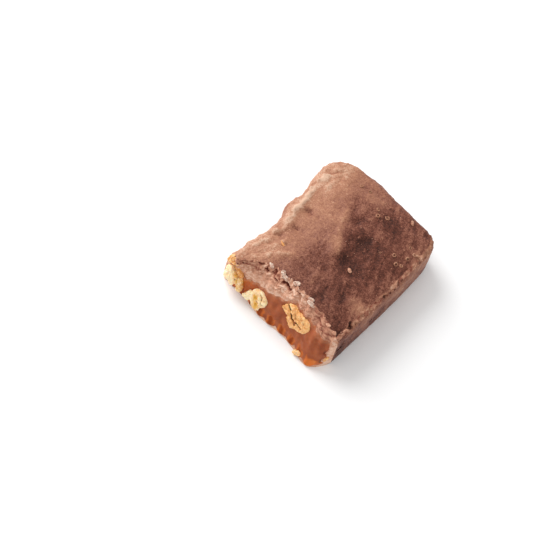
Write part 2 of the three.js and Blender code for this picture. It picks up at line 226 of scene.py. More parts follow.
def bar_points(across, along, up, coats, front):
    """Points of the bar in mm; coats is how far inside the skin they lie at side, lid, floor and end."""
    side_coat, lid_coat, floor_coat, end_coat = coats
    half, top = WIDTH / 2 - side_coat, EDGE_HEIGHT - lid_coat
    flat_x, flat_z = across * half, mix(floor_coat, top, up)
    end = FAR_END + end_bulge(flat_x) - end_coat
    flat_y = mix(front(flat_x, flat_z), end, along)
    side, radius = np.sign(flat_x), CORNER_RADIUS - side_coat
    past_x, past_y = np.abs(flat_x) - (half - radius), flat_y - (end - radius)
    round_x, round_y = round_off(past_x, past_y)
    x, y = side * (half - radius + round_x), end - radius + round_y

    inset = np.minimum(half - np.abs(flat_x), end - flat_y)
    top_radius = mix(LEFT_TOP_RADIUS, RIGHT_TOP_RADIUS, (across + 1) / 2) - side_coat
    past_top, past_foot = flat_z - (top - top_radius), floor_coat + FOOT_RADIUS - flat_z
    top_out, top_up = round_off(top_radius - inset, past_top)
    foot_out, foot_down = round_off(FOOT_RADIUS - inset, past_foot)
    moved = top_radius - inset - top_out + FOOT_RADIUS - inset - foot_out
    corner, length = (past_x > 0) & (past_y > 0), np.maximum(np.hypot(round_x, round_y), TINY)
    by_side = half - np.abs(flat_x) < end - flat_y
    x = x + moved * np.where(corner, -side * round_x / length, np.where(by_side, -side, 0))
    y = y + moved * np.where(corner, -round_y / length, np.where(by_side, 0, -1))
    z = flat_z + top_up - past_top - (foot_down - past_foot)
    bulge = mix(-left_bulge(y), right_bulge(y), (across + 1) / 2)
    return np.column_stack([x + bulge, y, z * (1 + rise(x, y) / EDGE_HEIGHT)])


far_corner = bar_points(*np.ones((3, 1)), (0, 0, 0, 0), break_at)[0]
print("the far right corner of the top lies at", far_corner.round(1), "in mm")

# %% Make meshes from a box of points
def box_grid(counts):
    """A box's skin: points as whole steps, faces as quads with the front's first, and each step's point."""
    n = np.array(counts)
    ids = np.full(n + 1, -1)
    skin = np.zeros(n + 1, bool)
    for axis in range(3):
        np.moveaxis(skin, axis, 0)[[0, -1]] = True
    ids[skin] = np.arange(skin.sum())

    def quads(grid, flip):
        corners = [grid[:-1, :-1], grid[1:, :-1], grid[1:, 1:], grid[:-1, 1:]]
        made = np.stack(corners, -1).reshape(-1, 4)
        return made[:, ::-1] if flip else made

    sides = [(ids[:, 0], False), (ids[:, -1], True), (ids[0], True), (ids[-1], False),
             (ids[:, :, 0], True), (ids[:, :, -1], False)]
    return np.argwhere(skin), np.concatenate([quads(*s) for s in sides]), ids


def make_piece(name, points, faces):
    """A mesh object from points in mm of the bar, set down in metres where the plain solid stands."""
    mesh = bpy.data.meshes.new(name)
    mesh.from_pydata(((points + PLACE) * MM).tolist(), [], faces.tolist())
    mesh.polygons.foreach_set("use_smooth", np.ones(len(faces), bool))
    piece = bpy.data.objects.new(name, mesh)
    bpy.context.scene.collection.objects.link(piece)
    return piece


grid_steps, grid_faces, _ = box_grid([4, 3, 2])
print("a 4 x 3 x 2 box has", len(grid_steps), "points and", len(grid_faces), "faces")

# %% [markdown]
# The coat's outer skin comes first. Rows are crowded into the lid, where the break shows its layers, and
# towards the lip. The skin then moves along its own normals: slow swells where the caramel sank, a sharp rim
# on the left shoulder with a groove inside it, a fold, a ridge with a valley beside it, creases, grains that
# set under the chocolate, and a roughened right edge.

# %% The coat's outer skin
SKIN_COUNTS = (184, 124, 44)
LID_ROWS = 24
CROWDING = 0.05
# Bumps and hollows, each [across, along, radius, height]
BUMPS = [[-20.2, 18.6, 1.8, 0.4], [-21.2, 12.3, 1.8, 0.3], [-18, 3.2, 1.8, 0.9], [-14.4, 5.2, 1.8, -0.8],
         [-16.2, -3.4, 2.0, 0.7], [-13.3, -3.4, 1.5, -0.6], [-17.6, -8.4, 1.5, 0.7], [-15.4, -8.6, 1.4, -0.5],
         [-17.2, -12.6, 1.4, 0.6], [-11.2, -11.2, 0.9, -0.4], [-12.7, -11, 0.8, 0.45],
         [-14.2, -13.4, 1.2, 0.3], [-4.6, 10.2, 2.6, 0.35], [1.2, -0.6, 2.6, 0.35], [0.6, 11.2, 2.2, -0.45],
         [6, 7, 3.4, -0.25], [8.4, -2, 3, -0.3], [20.4, -11.5, 1.6, 0.35], [21.4, -24.2, 1.6, -0.9],
         [9.1, -3.9, 0.5, 0.5], [12.6, 26.5, 0.55, 0.45], [-20.4, 22.4, 1.3, -0.6], [-18.4, 26.6, 2.4, 0.7]]
# Lines on the top, each [from across, from along, to across, to along]
CREASES = [[-14.8, -3.3, -11.4, -3.1], [-17, 4.8, -13.4, 4.5],
           [-19.6, 22.6, -17.4, 25.4], [-16.4, -9.6, -14.4, -9.9]]
FOLD = [[-16.3, -21.3, -13.1, -18], [-13.1, -18, -11, -15.7],
        [-11, -15.7, -8.7, -14.3], [-8.7, -14.3, -3.9, -11]]
# Strokes run along the bar and lean to the right on their way to the break
STROKE_AXES = np.array([[0.92, 0.39, 0], [0.39, -0.92, 0], [0, 0, 1]])
# How far across the rim and the ridge lie, for each place along the bar
rim_at = through([[-21, -20.6], [-15.7, -19], [-12.7, -17.6], [-4.1, -17.5], [-1, -17.3], [2.7, -18.5],
                  [7.6, -18.6], [10.3, -19.2], [15.1, -20], [20, -20], [24, -18.6]])
ridge_at = through([[-9, 3.6], [-3.9, 1.6], [1.9, -0.9], [7.5, -3.6], [14.3, -6.5], [22, -9.6]])


def broken_face(x, z):
    return break_at(x, z) - crag_relief(x, z)


steps, faces, ids = box_grid(SKIN_COUNTS)
shares = steps / np.array(SKIN_COUNTS)
rows_below = SKIN_COUNTS[2] - LID_ROWS
up = np.interp(steps[:, 2], [0, rows_below, SKIN_COUNTS[2]], [0, SEAM_HEIGHT, 1])
along = shares[:, 1] - CROWDING * np.sin(2 * math.pi * shares[:, 1])
points = bar_points(2 * shares[:, 0] - 1, along, up, (0, 0, 0, 0), broken_face)
coat = make_piece("set_coat", points, faces)
normals = np.empty(len(points) * 3)
coat.data.vertices.foreach_get("normal", normals)
normals = normals.reshape(-1, 3)
print("coat skin:", len(points), "points and", len(faces), "faces")

# %% Move the skin along its normals
x, y, z = points.T
on_top = smooth(normals[:, 2], 0.35, 0.8)
on_break = steps[:, 1] == 0
wander, lumps = rough(points, 2.0, 2, seed=12), rough(points, 3.4, 2, seed=14)


def crests(lines, shift_x, shift_y, wide):
    """A bell across each line, read at shifted places, so that the line wanders."""
    return [np.exp(-(near_line(x + shift_x, y + shift_y, line) / wide) ** 2) for line in lines]


strands = 0.6 + 0.5 * rough(points, [2.4, 0.7, 1], 2, seed=15)
fold = strands * sum(crests(FOLD, 0.6 * wander, -0.6 * wander, 1.1)) * on_top
crease = np.max(crests(CREASES, 1.2 * wander, 1.2 * wander, 0.5), 0) * smooth(z, 8, 11)
from_rim = x - rim_at(y) + 0.9 * wander
along_rim = smooth(y, -25, -21) * smooth(24 - y, 0, 3) * smooth(lumps, -0.7, 0.3)
rim = np.exp(-(from_rim / 0.8) ** 2) * along_rim * smooth(z, 9, 11)
groove = np.exp(-((from_rim - 2.1) / 1.1) ** 2) * along_rim * on_top
shoulder = smooth(-x, 12.5, 16.5) * smooth(z, 6, 10)
right_edge = smooth(normals[:, 0], 0.22, 0.45) * smooth(0.96 - normals[:, 0], 0, 0.2) * smooth(z, 9.5, 11)
swells = 0.3 * rough(points, 6.5) + 0.15 * rough(points, 2.2, seed=1) + 0.07 * rough(points, 0.8, 3, seed=4)
from_ridge = x - ridge_at(y) + 0.9 * wander
ridge = np.exp(-(from_ridge / 1.8) ** 2) * smooth(y, -9, -3) * smooth(20 - y, 0, 6) * on_top
valley = smooth(from_ridge + 1.6 * lumps, 0.2, 4.4) * smooth(9 - from_ridge, 0, 5)
valley = valley * smooth(y, -7, 0) * smooth(15 - y, 0, 4) * on_top
strokes = rough(points @ STROKE_AXES, [1.5, 7, 7], 3, seed=18) * on_top * smooth(x, -4, 8)
edge_grit = 0.05 + 0.5 * rough(points, 1.1, seed=5)
relief = (swells + 0.25 * ridge - 0.25 * valley - 0.32 * crease + 0.06 * strokes
          + 0.35 * fold + 0.35 * rim * (1 + wander) - 0.25 * groove
          + bells(x, y, BUMPS) * smooth(z, 8, 12))
relief += shoulder * (0.4 * lumps + 0.4 * np.abs(wander) - 0.15) + right_edge * edge_grit
# The underside stays flat, and the break has its own relief already
relief *= smooth(z, 0.1, 2.5) * np.where(on_break, 0.25, 1)
points = points + normals * relief[:, None]
coat.data.vertices.foreach_set("co", ((points + PLACE) * MM).ravel())
coat.data.update()
print("relief from", relief.min().round(2), "to", relief.max().round(2), "mm")

# %% [markdown]
# Bloom is the pale film of cocoa butter on chocolate that has been handled or stored warm. The coat's tone is
# worked out here as a number for each point, along with how deep in the crumb a point of the break lies, so
# that the materials can read them. The number holds bloom and painted light together: it is paler on what
# stands proud, on the left side and shoulder where the lamp falls, and on the rim, ridge and fold, as painted
# light, and darker in the hollows, the groove, the creases and the valley beside the ridge, as painted shade.

# %% Where the coat is pale and where it is dark
# Wide pale and dark areas, each [across, along, radius, amount]; partly bloom, partly painted light on the
# left, where the lamp falls, and painted shade over the right of the top and in the hollow by the lip's right
# end
TONES = [[-16, 20, 9, 0.1], [-6.6, 6, 6, 0.12], [0.4, 0.6, 3, 0.2], [-4.6, 10, 3, 0.1], [9, 18, 9, -0.11],
         [12, 1, 10, -0.22], [13.5, -17, 7, -0.14], [2, -10, 6, -0.06], [-3, 26, 5, 0.13],
         [-10, -14, 5, 0.08], [-20.5, -17, 4.5, 0.16], [20.3, -12, 2.6, 0.34], [21.4, -24.2, 2.2, -0.2]]
# The finish adds three noise patterns, each [width in mm, detail, share]; the coat's number makes room for
# half of each
PATTERNS = [[5.5, 4.0, 0.35], [1.0, 4.0, 0.45], [0.42, 2.0, 0.8]]
PATTERN_MIDDLE = sum(share for _, _, share in PATTERNS) / 2

wall = smooth(normals[:, 0], 0.8, 0.95)
# Paler to the left, where the lamp falls, and on the swells, fold, rim and ridge: painted light. Darker in
# the hollows, the groove, the valley and the creases: painted shade
bloom_and_painted_light = (0.37 + bells(x, y, TONES) + 0.3 * smooth(-x, 4, 17) + 0.3 * swells
         + 0.16 * fold + 0.24 * rim - 0.14 * groove)
bloom_and_painted_light += 0.12 * ridge - 0.15 * valley - 0.2 * crease + 0.14 * strokes
# Paler on the left shoulder and the bumps, as painted light, and darker in the hollows among them, as painted
# shade; paler along the right edge; on the right wall, darker low down and paler towards the far end
bloom_and_painted_light += shoulder * (0.12 * lumps + 0.04) + 0.14 * bells(x, y, BUMPS) + right_edge * (0.2 + 0.3 * wander)
bloom_and_painted_light += wall * (mix(-0.04, 0.1, smooth(z, 4, 10)) + 0.14 * smooth(y, -12, 8) + 0.15 * lumps)
bloom_and_painted_light -= PATTERN_MIDDLE
print("bloom from", bloom_and_painted_light.min().round(2), "to", bloom_and_painted_light.max().round(2))

# %% How deep in the crumb each point lies
SCUFF_TONE, SCUFF_FROM = -0.28, 0.2
flat_z = np.clip(up * EDGE_HEIGHT, 0, EDGE_HEIGHT)
left = smooth(-x, -2, 6)
streak = np.clip(0.4 + rough(np.column_stack([x, 0 * x, flat_z]), [2.2, 1, 0.5], 3, seed=19), 0, 1)
# The break's relief sets its tone: cracks and deep crevices are painted dark, as shade, and chips that stand
# out are painted paler, as light
crumb = crag_relief(x, flat_z) + left * mix(0.14, -0.2, smooth(flat_z, 11.4, 12.2))
crumb -= 0.26 * smooth(x, 5, 12)
crumb -= left * 0.6 * np.exp(-((flat_z - 11.3) / 1.2) ** 2) * streak
crumb += 0.35 * smooth(3 - flat_z, 0, 1) + 0.45 * smooth(x, 20, 22) + 0.12 * np.exp(-(x / 6) ** 2)
# The right edge is scuffed down to the crumb, in ragged spots
scuff_spots = 0.62 + 0.8 * rough(points, [0.9, 1.6, 0.9], 3, seed=20)
scuffed = right_edge * smooth(24 - y, 0, 8) * scuff_spots * ~on_break
crumb = np.where(scuffed > SCUFF_FROM, SCUFF_TONE + 0.5 * wander, crumb)
memory = kdtree.KDTree(len(points))
for i, p in enumerate(points.tolist()):
    memory.insert(p, i)
memory.balance()
print("scuffed points:", int((scuffed > SCUFF_FROM).sum()))

# %% [markdown]
# The coat is a shell. A copy of the same bent box, smaller by the thickness of the coat on each side and
# running out through the break, is cut from it. The manifold solver of the Boolean modifier does this exactly
# even on a rough skin. The pits in the right edge and wall are burst air bubbles, cut with small uneven
# balls.

# %% Helpers to hollow the coat
cutters = bpy.data.collections.new("cutters")
bpy.context.scene.collection.children.link(cutters)


def as_cutter(piece, finish=1):
    """Make a piece a cutter, which leaves the coat's first or second finish, 0 or 1, on what it cuts."""
    bpy.context.scene.collection.objects.unlink(piece)
    cutters.objects.link(piece)
    piece.data.polygons.foreach_set("material_index", np.full(len(piece.data.polygons), finish))


def as_plain_mesh(piece):
    """Replace a piece's mesh and modifiers by what the modifiers make."""
    made = bpy.data.meshes.new_from_object(piece.evaluated_get(bpy.context.evaluated_depsgraph_get()))
    piece.modifiers.clear()
    piece.data = made


def cut(piece):
    """Take every cutter out of a piece and leave a plain mesh."""
    boolean = piece.modifiers.new("hollow", "BOOLEAN")
    boolean.operand_type, boolean.collection = "COLLECTION", cutters
    boolean.operation, boolean.solver = "DIFFERENCE", "MANIFOLD"
    as_plain_mesh(piece)


def ball_of(detail):
    """Points and faces of a ball of even triangles, with radius 1."""
    ball = bmesh.new()
    bmesh.ops.create_icosphere(ball, subdivisions=detail, radius=1)
    ball_points = np.array([v.co for v in ball.verts])
    ball_faces = np.array([[v.index for v in f.verts] for f in ball.faces])
    ball.free()
    return ball_points, ball_faces


def caramel_coats(across, up, depth):
    """The coat's thickness round the caramel: uneven at the break, and even from a few mm behind it."""
    at_break = 1 - smooth(depth, 0, BREAK_REACH)
    inner_x = across * (WIDTH / 2 - SIDE_COAT)
    ragged = rough(np.column_stack([inner_x, 0 * up, 9 * up]), 1.7, 3, seed=13)
    scallop = FLOOR_SCALLOP * (1 - tongue(inner_x + ragged)) ** 3 * (0.8 + ragged)
    side = SIDE_COAT + at_break * (0.1 + 0.9 * ragged) * (np.abs(across) > 0.98)
    lid = LID_COAT + at_break * (seam_drop(inner_x) + 0.35 * ragged)
    floor = FLOOR_COAT + at_break * (scallop - 0.3)
    return side, lid, floor, END_COAT


print("a ball of detail 3 has", len(ball_of(3)[0]), "points")

# %% Hollow the coat
MOUTH = 2.5  # how far the cavity runs out through the break
CAVITY_COUNTS = (120, 32, 20)
# Burst bubbles along the right edge and in the right wall, each [across, along, height, radius]
PITS = [[21.2, -18.5, 13.5, 0.65], [22.2, -19.5, 13, 0.75], [22.6, -17.4, 13, 0.4], [22.8, -2.9, 13.2, 0.6],
        [23.4, -0.2, 12.8, 0.3], [23.7, 2.3, 12.6, 0.34], [23.7, 4.4, 12.6, 0.28], [23.6, 6.4, 12.8, 0.36],
        [23.2, 16.3, 12.8, 0.36], [23.6, -8.2, 5.6, 0.75], [23.4, -23.2, 7.4, 0.9], [23.4, -24.8, 6.4, 0.8]]
PIT_DETAIL, PIT_UNEVENNESS, PIT_LENGTH = 3, 0.7, 1.35


def mouth_face(x, z):
    return caramel_at(x, z) - MOUTH


inner_steps, inner_faces, _ = box_grid(CAVITY_COUNTS)
inner = inner_steps / np.array(CAVITY_COUNTS)
inner_across, inner_along = 2 * inner[:, 0] - 1, inner[:, 1] ** 1.3
inner_coats = caramel_coats(inner_across, inner[:, 2], inner_along * 2 * FAR_END - MOUTH)
inner_points = bar_points(inner_across, inner_along, inner[:, 2], inner_coats, mouth_face)
as_cutter(make_piece("cavity", inner_points, inner_faces))
unit_ball, ball_faces = ball_of(PIT_DETAIL)
pit_middles = []
for i, (*near, radius) in enumerate(PITS):
    middle = points[np.argmin(np.linalg.norm(points - near, axis=1))]
    swell = 1 + PIT_UNEVENNESS * rough(unit_ball, 0.7, seed=sum(map(abs, middle)))
    pit = unit_ball * swell[:, None] * [radius, radius * PIT_LENGTH, radius] + middle
    as_cutter(make_piece(f"pit_{i}", pit, ball_faces), finish=0)
    pit_middles.append(middle)
coat.data.materials.append(None)
coat.data.materials.append(None)
first_front = np.zeros(len(faces), int)
first_front[:SKIN_COUNTS[0] * SKIN_COUNTS[2]] = 1
coat.data.polygons.foreach_set("material_index", first_front)
cut(coat)
print("coat:", len(coat.data.polygons), "faces after hollowing")

# %% [markdown]
# The caramel is the same bent box again, with its own face at the break. Its outer walls lie against the
# coat. Pulled caramel is never quite even, so its face gets soft waves only: it has no grain to show.

# %% The caramel
CARAMEL_COUNTS = (180, 24, 56)


def caramel_face(x, z):
    spots = np.column_stack([x, 0 * x, z])
    waves = 0.22 * rough(spots, [3.4, 1, 2.2], 2, seed=6) + 0.06 * rough(spots, [1.1, 1, 0.9], 2, seed=7)
    return caramel_at(x, z) - waves * smooth(EDGE_HEIGHT - LID_COAT - z, 0, 1.2)


steps, faces, _ = box_grid(CARAMEL_COUNTS)
shares = steps / np.array(CARAMEL_COUNTS)
across, along = 2 * shares[:, 0] - 1, shares[:, 1] ** 1.5
coats = caramel_coats(across, shares[:, 2], along * 2 * FAR_END)
caramel = make_piece("soft_caramel", bar_points(across, along, shares[:, 2], coats, caramel_face), faces)
print("caramel:", len(steps), "points")

# %% [markdown]
# A peanut half is an egg shape with one flat side where the two halves met, and a split runs down it. Those
# in the break were snapped with the bar, so each gets its own edge, a flat front, its own cracks and its own
# grain. They start as a fine ball of even triangles, because a ball drawn in rings bunches up at its poles.
# A later kernel gives way to those before it, and coat and caramel give way to all of them.

# %% The peanuts
FACE_MIDDLE, FACE_LEAN = np.array([0, -27.6, 6.8]), math.radians(21.7)
FACE_UP = np.array([0, math.sin(FACE_LEAN), math.cos(FACE_LEAN)])
FACE_OUT = np.array([0, -math.cos(FACE_LEAN), math.sin(FACE_LEAN)])
# Each kernel has the line round its edge, [across, up the face]; how far out of the face its middle lies, and
# its half depth; the share of that where its front is snapped flat; its gold, from cream at 0 to brown gold
# at 1; how finely its ball is divided; how coarse its grain is; and cracks, each [depth, half width, points].
# Some fronts are domed. The break comes forward to the right, and the wide kernel leans with it.
KERNELS = {
    "peanut_half": dict(
        edge=[[0.8, 2.8], [1.4, 4.2], [2.2, 5.3], [3.7, 6.1], [5.1, 6.1], [6.1, 5.8], [7.2, 5.6], [9.3, 5.5],
              [11, 5.2], [12.2, 4.5], [12.9, 3.5], [12.8, 2.3], [12.2, 1.2], [10.6, -0.1], [9.2, -0.5],
              [8.2, -0.7], [7.2, -1.3], [6.3, -1.5], [5, -0.7], [3.9, 0.5], [3.5, 1.8], [2.3, 2]],
        out=-0.4, depth=3, front=0.62, lean=0.13, gold=0.48, detail=7, grit=1.5,
        cracks=[[1.2, 0.26, [2.7, 5], [3.3, 4.7], [4, 4.2]], [0.3, 0.2, [4.2, 4], [4.8, 3.2]],
                [1.4, 0.26, [4.8, 3.2], [5.6, 1.9], [6.9, 1.5], [7.4, 0.7]],
                [1.0, 0.18, [6.9, 1.5], [8.2, 1.8], [10, 1.2]], [0.3, 0.5, [6.2, 4.1], [6.8, 3.2]],
                [0.25, 0.5, [1.8, 3], [2.4, 3.1]], [0.25, 0.4, [9.2, 4.2], [10.4, 3.4]]]),
    "peanut_round": dict(
        edge=[[-10.6, -3.1], [-10.7, -1.2], [-10.2, 0.9], [-8.6, 1.8], [-7, 2], [-5.4, 1.4], [-4.4, 0.5],
              [-4, -1.1], [-4.6, -2.7], [-5.7, -3.9], [-6.1, -5.1], [-7.5, -5.5], [-8.6, -5.2], [-9.6, -3.9]],
        out=-2.2, depth=4, front=0.72, gold=0.1, detail=6, grit=1.2,
        cracks=[[0.5, 0.18, [-7.2, 1], [-6.5, 0.4], [-6.2, -0.6]],
                [0.5, 0.18, [-6.2, -1.4], [-5.4, -2.2], [-5, -2]],
                [0.4, 0.16, [-7.7, -2], [-7, -2.4]], [0.35, 0.16, [-5.6, 0.2], [-5.2, -0.3]]]),
    "peanut_corner": dict(
        edge=[[-21.7, -1.3], [-21.9, -0.2], [-21.7, 1.2], [-21.9, 2.3], [-20.7, 3.5], [-20, 3.5],
              [-19.3, 2.6], [-18.4, 2.1], [-17.8, 1.3], [-17.2, 1.1], [-16.7, 0.3], [-16.2, -0.4],
              [-16.3, -1.2], [-16.9, -1.9], [-17.5, -2.7], [-18.4, -2.8], [-19.4, -2.1], [-20.4, -2],
              [-21.3, -1.9]],
        out=-0.2, depth=2.4, front=0.75, gold=0.0, detail=6, grit=0.8, dome=0.4,
        cracks=[[0.5, 0.2, [-17.3, 0.3], [-17.1, 0.1]]]),
    "peanut_shard": dict(
        edge=[[-20.5, 4.3], [-19.4, 4.9], [-18.4, 5], [-17.9, 4.1], [-17.5, 3.3], [-16.7, 2.7], [-15.9, 2.1],
              [-15.7, 1.2], [-16.5, 0.7], [-17.6, 0.8], [-18.5, 2.1], [-19.5, 2.8], [-20.3, 3.4]],
        out=-0.9, depth=1.6, front=0.8, gold=0.55, detail=6, grit=1.9),
    "peanut_crumb": dict(
        edge=[[-22.8, 4.1], [-22.7, 5.4], [-22, 6.5], [-21.3, 7], [-20.3, 7.1], [-19.7, 6.9], [-18.8, 6.8],
              [-18.2, 6], [-18.4, 5], [-19.1, 4.2], [-20.1, 3.9], [-21, 3.8], [-22.2, 3.6]],
        out=-0.4, depth=1.7, front=0.8, gold=0.45, detail=6, grit=2.0,
        cracks=[[1.0, 0.28, [-19.3, 6.3], [-18.9, 5.8]]]),
    "peanut_tooth": dict(
        edge=[[-17.3, -0.5], [-16.1, 0.9], [-15.5, 0.6], [-14.8, -0.9], [-14.2, -2.2], [-14.1, -3.6],
              [-14.7, -4], [-15.5, -3.7], [-16.1, -2.7], [-16.9, -1.7]],
        out=-0.4, depth=1.6, front=0.8, gold=0.3, detail=6, grit=1.4, dome=0.3),
    "peanut_sliver": dict(
        edge=[[-13.1, -4], [-12.2, -2.4], [-10.9, -0.7], [-10.2, -1.6], [-10, -3.3], [-10.6, -4.4],
              [-12, -4.6]],
        out=-0.6, depth=1.4, front=0.8, gold=-0.1, detail=5, grit=1.6),
    "peanut_chip_side": dict(
        edge=[[20.4, -4.2], [20.3, -3], [21, -2], [21.7, -1.7], [22.3, -2.4], [21.9, -3.4], [21, -4.6]],
        out=-0.6, depth=1.2, front=0.8, gold=0.5, detail=5, grit=1.5),
    "peanut_chip_foot": dict(
        edge=[[11.3, -7.5], [11.8, -6.3], [12.8, -5.9], [14.1, -5.5], [14.6, -6.1], [13.6, -7.5],
              [12.2, -7.9]],
        out=2, depth=1, front=0.8, gold=0.2, detail=5, grit=1.5),
}
# Spots of gold on the pale round kernel, each [across, up the face, radius, amount]
ROUND_SPOTS = [[-8.4, -1.1, 0.9, 0.75], [-7.4, -3.3, 0.9, 0.8], [-7.2, -4.9, 0.9, 0.45]]
FACE_SHARE = 0.75  # the share of a ball's front half that makes the snapped face; the rest makes its side
print("kernels in the break:", len(KERNELS))

# %% Make a kernel
def write(mesh, label, values):
    """Note a number on every point of a mesh, where a material or a tree can read it."""
    mesh.attributes.new(label, "FLOAT", "POINT").data.foreach_set("value", np.asarray(values, float))


def kernel(name, edge, out, depth, front, gold, detail, grit, cracks=(), dome=0.0, lean=0.0):
    ball, ball_faces = ball_of(detail)
    edge = np.array(edge, float)
    middle = (edge.min(0) + edge.max(0)) / 2
    round_it = sorted((math.degrees(math.atan2(b, a)), math.hypot(a, b)) for a, b in edge - middle)
    laps = [(angle + lap, reach) for lap in (-360, 0, 360) for angle, reach in round_it]
    reach = through(laps)(np.degrees(np.arctan2(ball[:, 1], ball[:, 0])))
    ring = np.hypot(ball[:, 0], ball[:, 1])
    from_pole = np.arctan2(ring, ball[:, 2]) / (math.pi / 2)
    ahead = from_pole < 1
    share = np.where(ahead, np.minimum(1, from_pole / FACE_SHARE), ring)
    height = np.where(ahead, front * np.clip((1 - from_pole) / (1 - FACE_SHARE), 0, 1), ball[:, 2])
    aside = ball[:, :2] / np.maximum(ring, TINY)[:, None]
    across, up = (middle + aside * (reach * share)[:, None]).T
    on_front = smooth(0.85 - from_pole, 0, 0.15)
    bulge = (dome * (1 - share ** 2) - 0.35 * share ** 6) * np.clip(height / front, 0, 1)
    far_out = out + lean * (across - middle[0]) + depth * height + bulge

    spots = np.column_stack([across, up, far_out])
    grain = grit * (0.3 * np.abs(rough(spots, 1.7, 4)) - 0.12 + 0.08 * rough(spots, 0.5, 2, seed=3))
    bent = 0.25 * rough(spots, 0.8, 2, seed=9)
    crack = 0 * across
    for deep, wide, *line in cracks:
        gaps = [near_line(across + bent, up - bent, [*a, *b]) for a, b in zip(line, line[1:])]
        crack = np.maximum(crack, deep * np.exp(-(np.min(gaps, 0) / wide) ** 2))
    crack = crack * on_front
    away = np.column_stack([aside * (share ** 4)[:, None], np.where(ahead, 1 - share ** 4, ball[:, 2])])
    across = across + away[:, 0] * grain
    up = up + away[:, 1] * grain
    far_out = far_out + away[:, 2] * grain - crack
    placed = FACE_MIDDLE + np.outer(across, [1, 0, 0]) + np.outer(up, FACE_UP) + np.outer(far_out, FACE_OUT)
    piece = make_piece("kernel_" + name.replace("peanut_", ""), placed, ball_faces)

    # The grain's hollows are painted more golden and its tops paler: painted shade and light
    gold_with_painted_shade = gold - 0.9 * grain + 0.2 * (ball[:, 2] < 0)
    if name == "peanut_round":
        gold_with_painted_shade = gold_with_painted_shade + bells(across, up, ROUND_SPOTS)
    if name == "peanut_corner":
        gold_with_painted_shade = gold_with_painted_shade + 0.5 * smooth(across + 0.6 * up, -18.8, -16.4)
    write(piece.data, "crack", crack)
    write(piece.data, "gold", gold_with_painted_shade)
    return piece


print("points round each edge:", {name: len(facts["edge"]) for name, facts in KERNELS.items()})

# %% Seat the kernels
def clear_cutters():
    for piece in list(cutters.objects):
        bpy.data.objects.remove(piece)


clear_cutters()
kernels = {}
for name, facts in KERNELS.items():
    kernels[name] = kernel(name, **facts)
    cut(kernels[name])
    seat = bpy.data.objects.new("seat_" + name, kernels[name].data.copy())
    bpy.context.scene.collection.objects.link(seat)
    as_cutter(seat)
cut(coat)
cut(caramel)
clear_cutters()
bpy.data.collections.remove(cutters)
print("kernels:", {name: len(piece.data.polygons) for name, piece in kernels.items()})
print("coat", len(coat.data.polygons), "and caramel", len(caramel.data.polygons), "faces with their seats")

# %% [markdown]
# After the cuts the meshes have new points, so each point of the coat looks up the nearest point of the skin
# before cutting and takes its numbers, and faces on the scuffed right edge take the finish of the break. The
# caramel gets three numbers of its own: amber, high in the tongues along the foot, which are thin enough for
# light to pass; a painted glow, a brighter orange painted on as light round them, in the right corner and at
# the left; and smear, where chocolate was dragged over it below the seam.

# %% Carry the numbers over
PIT_REACH, SHARP_FROM = 1.6, math.radians(60)


def points_of(piece):
    """A piece's points in mm of the bar."""
    found = np.empty(len(piece.data.vertices) * 3)
    piece.data.vertices.foreach_get("co", found)
    return found.reshape(-1, 3) / MM - PLACE


coat_points, caramel_points = points_of(coat), points_of(caramel)
found = [memory.find(p) for p in coat_points.tolist()]
nearest = np.array([i for _, i, _ in found])
below = np.array([gap for _, _, gap in found])
in_pit = np.zeros(len(coat_points), bool)
for middle, (*_, radius) in zip(pit_middles, PITS):
    in_pit |= np.linalg.norm(coat_points - middle, axis=1) / radius < PIT_REACH
# Inside the pits the number drops with depth below the skin: painted shade in the hollows
write(coat.data, "bloom_and_painted_light", np.where(in_pit, bloom_and_painted_light[nearest] - 0.4 * smooth(below, 0.1, 0.5), bloom_and_painted_light[nearest]))
write(coat.data, "crumb", crumb[nearest])
scuffed_here = scuffed[nearest] * ~in_pit
for face in coat.data.polygons:
    if scuffed_here[list(face.vertices)].mean() > 0.5:
        face.material_index = 1

cx, cy, cz = caramel_points.T
ragged = rough(caramel_points, [1.2, 1.2, 2.0], 2, seed=17)
patchy = np.clip(0.3 + 0.8 * rough(caramel_points, [2.4, 2.4, 1.2], 3, seed=16), 0, 0.8)
foot_here = tongue(cx + 0.4 * ragged + 0.12 * (cz - 2)) ** 1.6
low = smooth(3.9 + 0.9 * ragged - cz, 0, 0.9)
# Painted glow: a brighter orange standing in for light, round the tongues, in the right corner and over the
# left
corner = np.exp(-((cx - 18.5) / 1.8) ** 2) * smooth(4 - cz, 0, 1.4)
amber = np.clip(1.15 * low * foot_here * (1 - corner), 0, 1)
round_tongues = low * smooth(tongue(cx + 0.4 * ragged), 0.05, 0.5)
painted_glow = np.clip(corner + round_tongues + 0.5 * smooth(-cx, 8, 15), 0, 1)
seam = (EDGE_HEIGHT - LID_COAT - seam_drop(cx)) * (1 + rise(cx, cy) / EDGE_HEIGHT)
smear = (1 - 0.7 * smooth(-cx, 6, 12)) * smooth(cz - seam, -1.6, 0) * patchy
smear = np.maximum(smear, (0.5 + 0.5 * ragged) * smooth(cz - seam, -1.0, 0.1))
for label, values in (("smear", smear), ("painted_glow", painted_glow), ("amber", amber)):
    write(caramel.data, label, values)
for piece in (coat, caramel):
    piece.data.polygons.foreach_set("use_smooth", np.ones(len(piece.data.polygons), bool))
coat.data.set_sharp_from_angle(angle=SHARP_FROM)
print("numbers written for", len(nearest), "points of the coat and", len(cx), "of the caramel")

# %% [markdown]
# Every material here is built from nodes. One small function adds a node, sets it up and links it, and
# another turns the colours, written as sRGB hex the way a colour picker shows them, to the linear values that
# Blender works in. A material starts on Object coordinates scaled to millimetres, so each pattern's size is a
# real one.

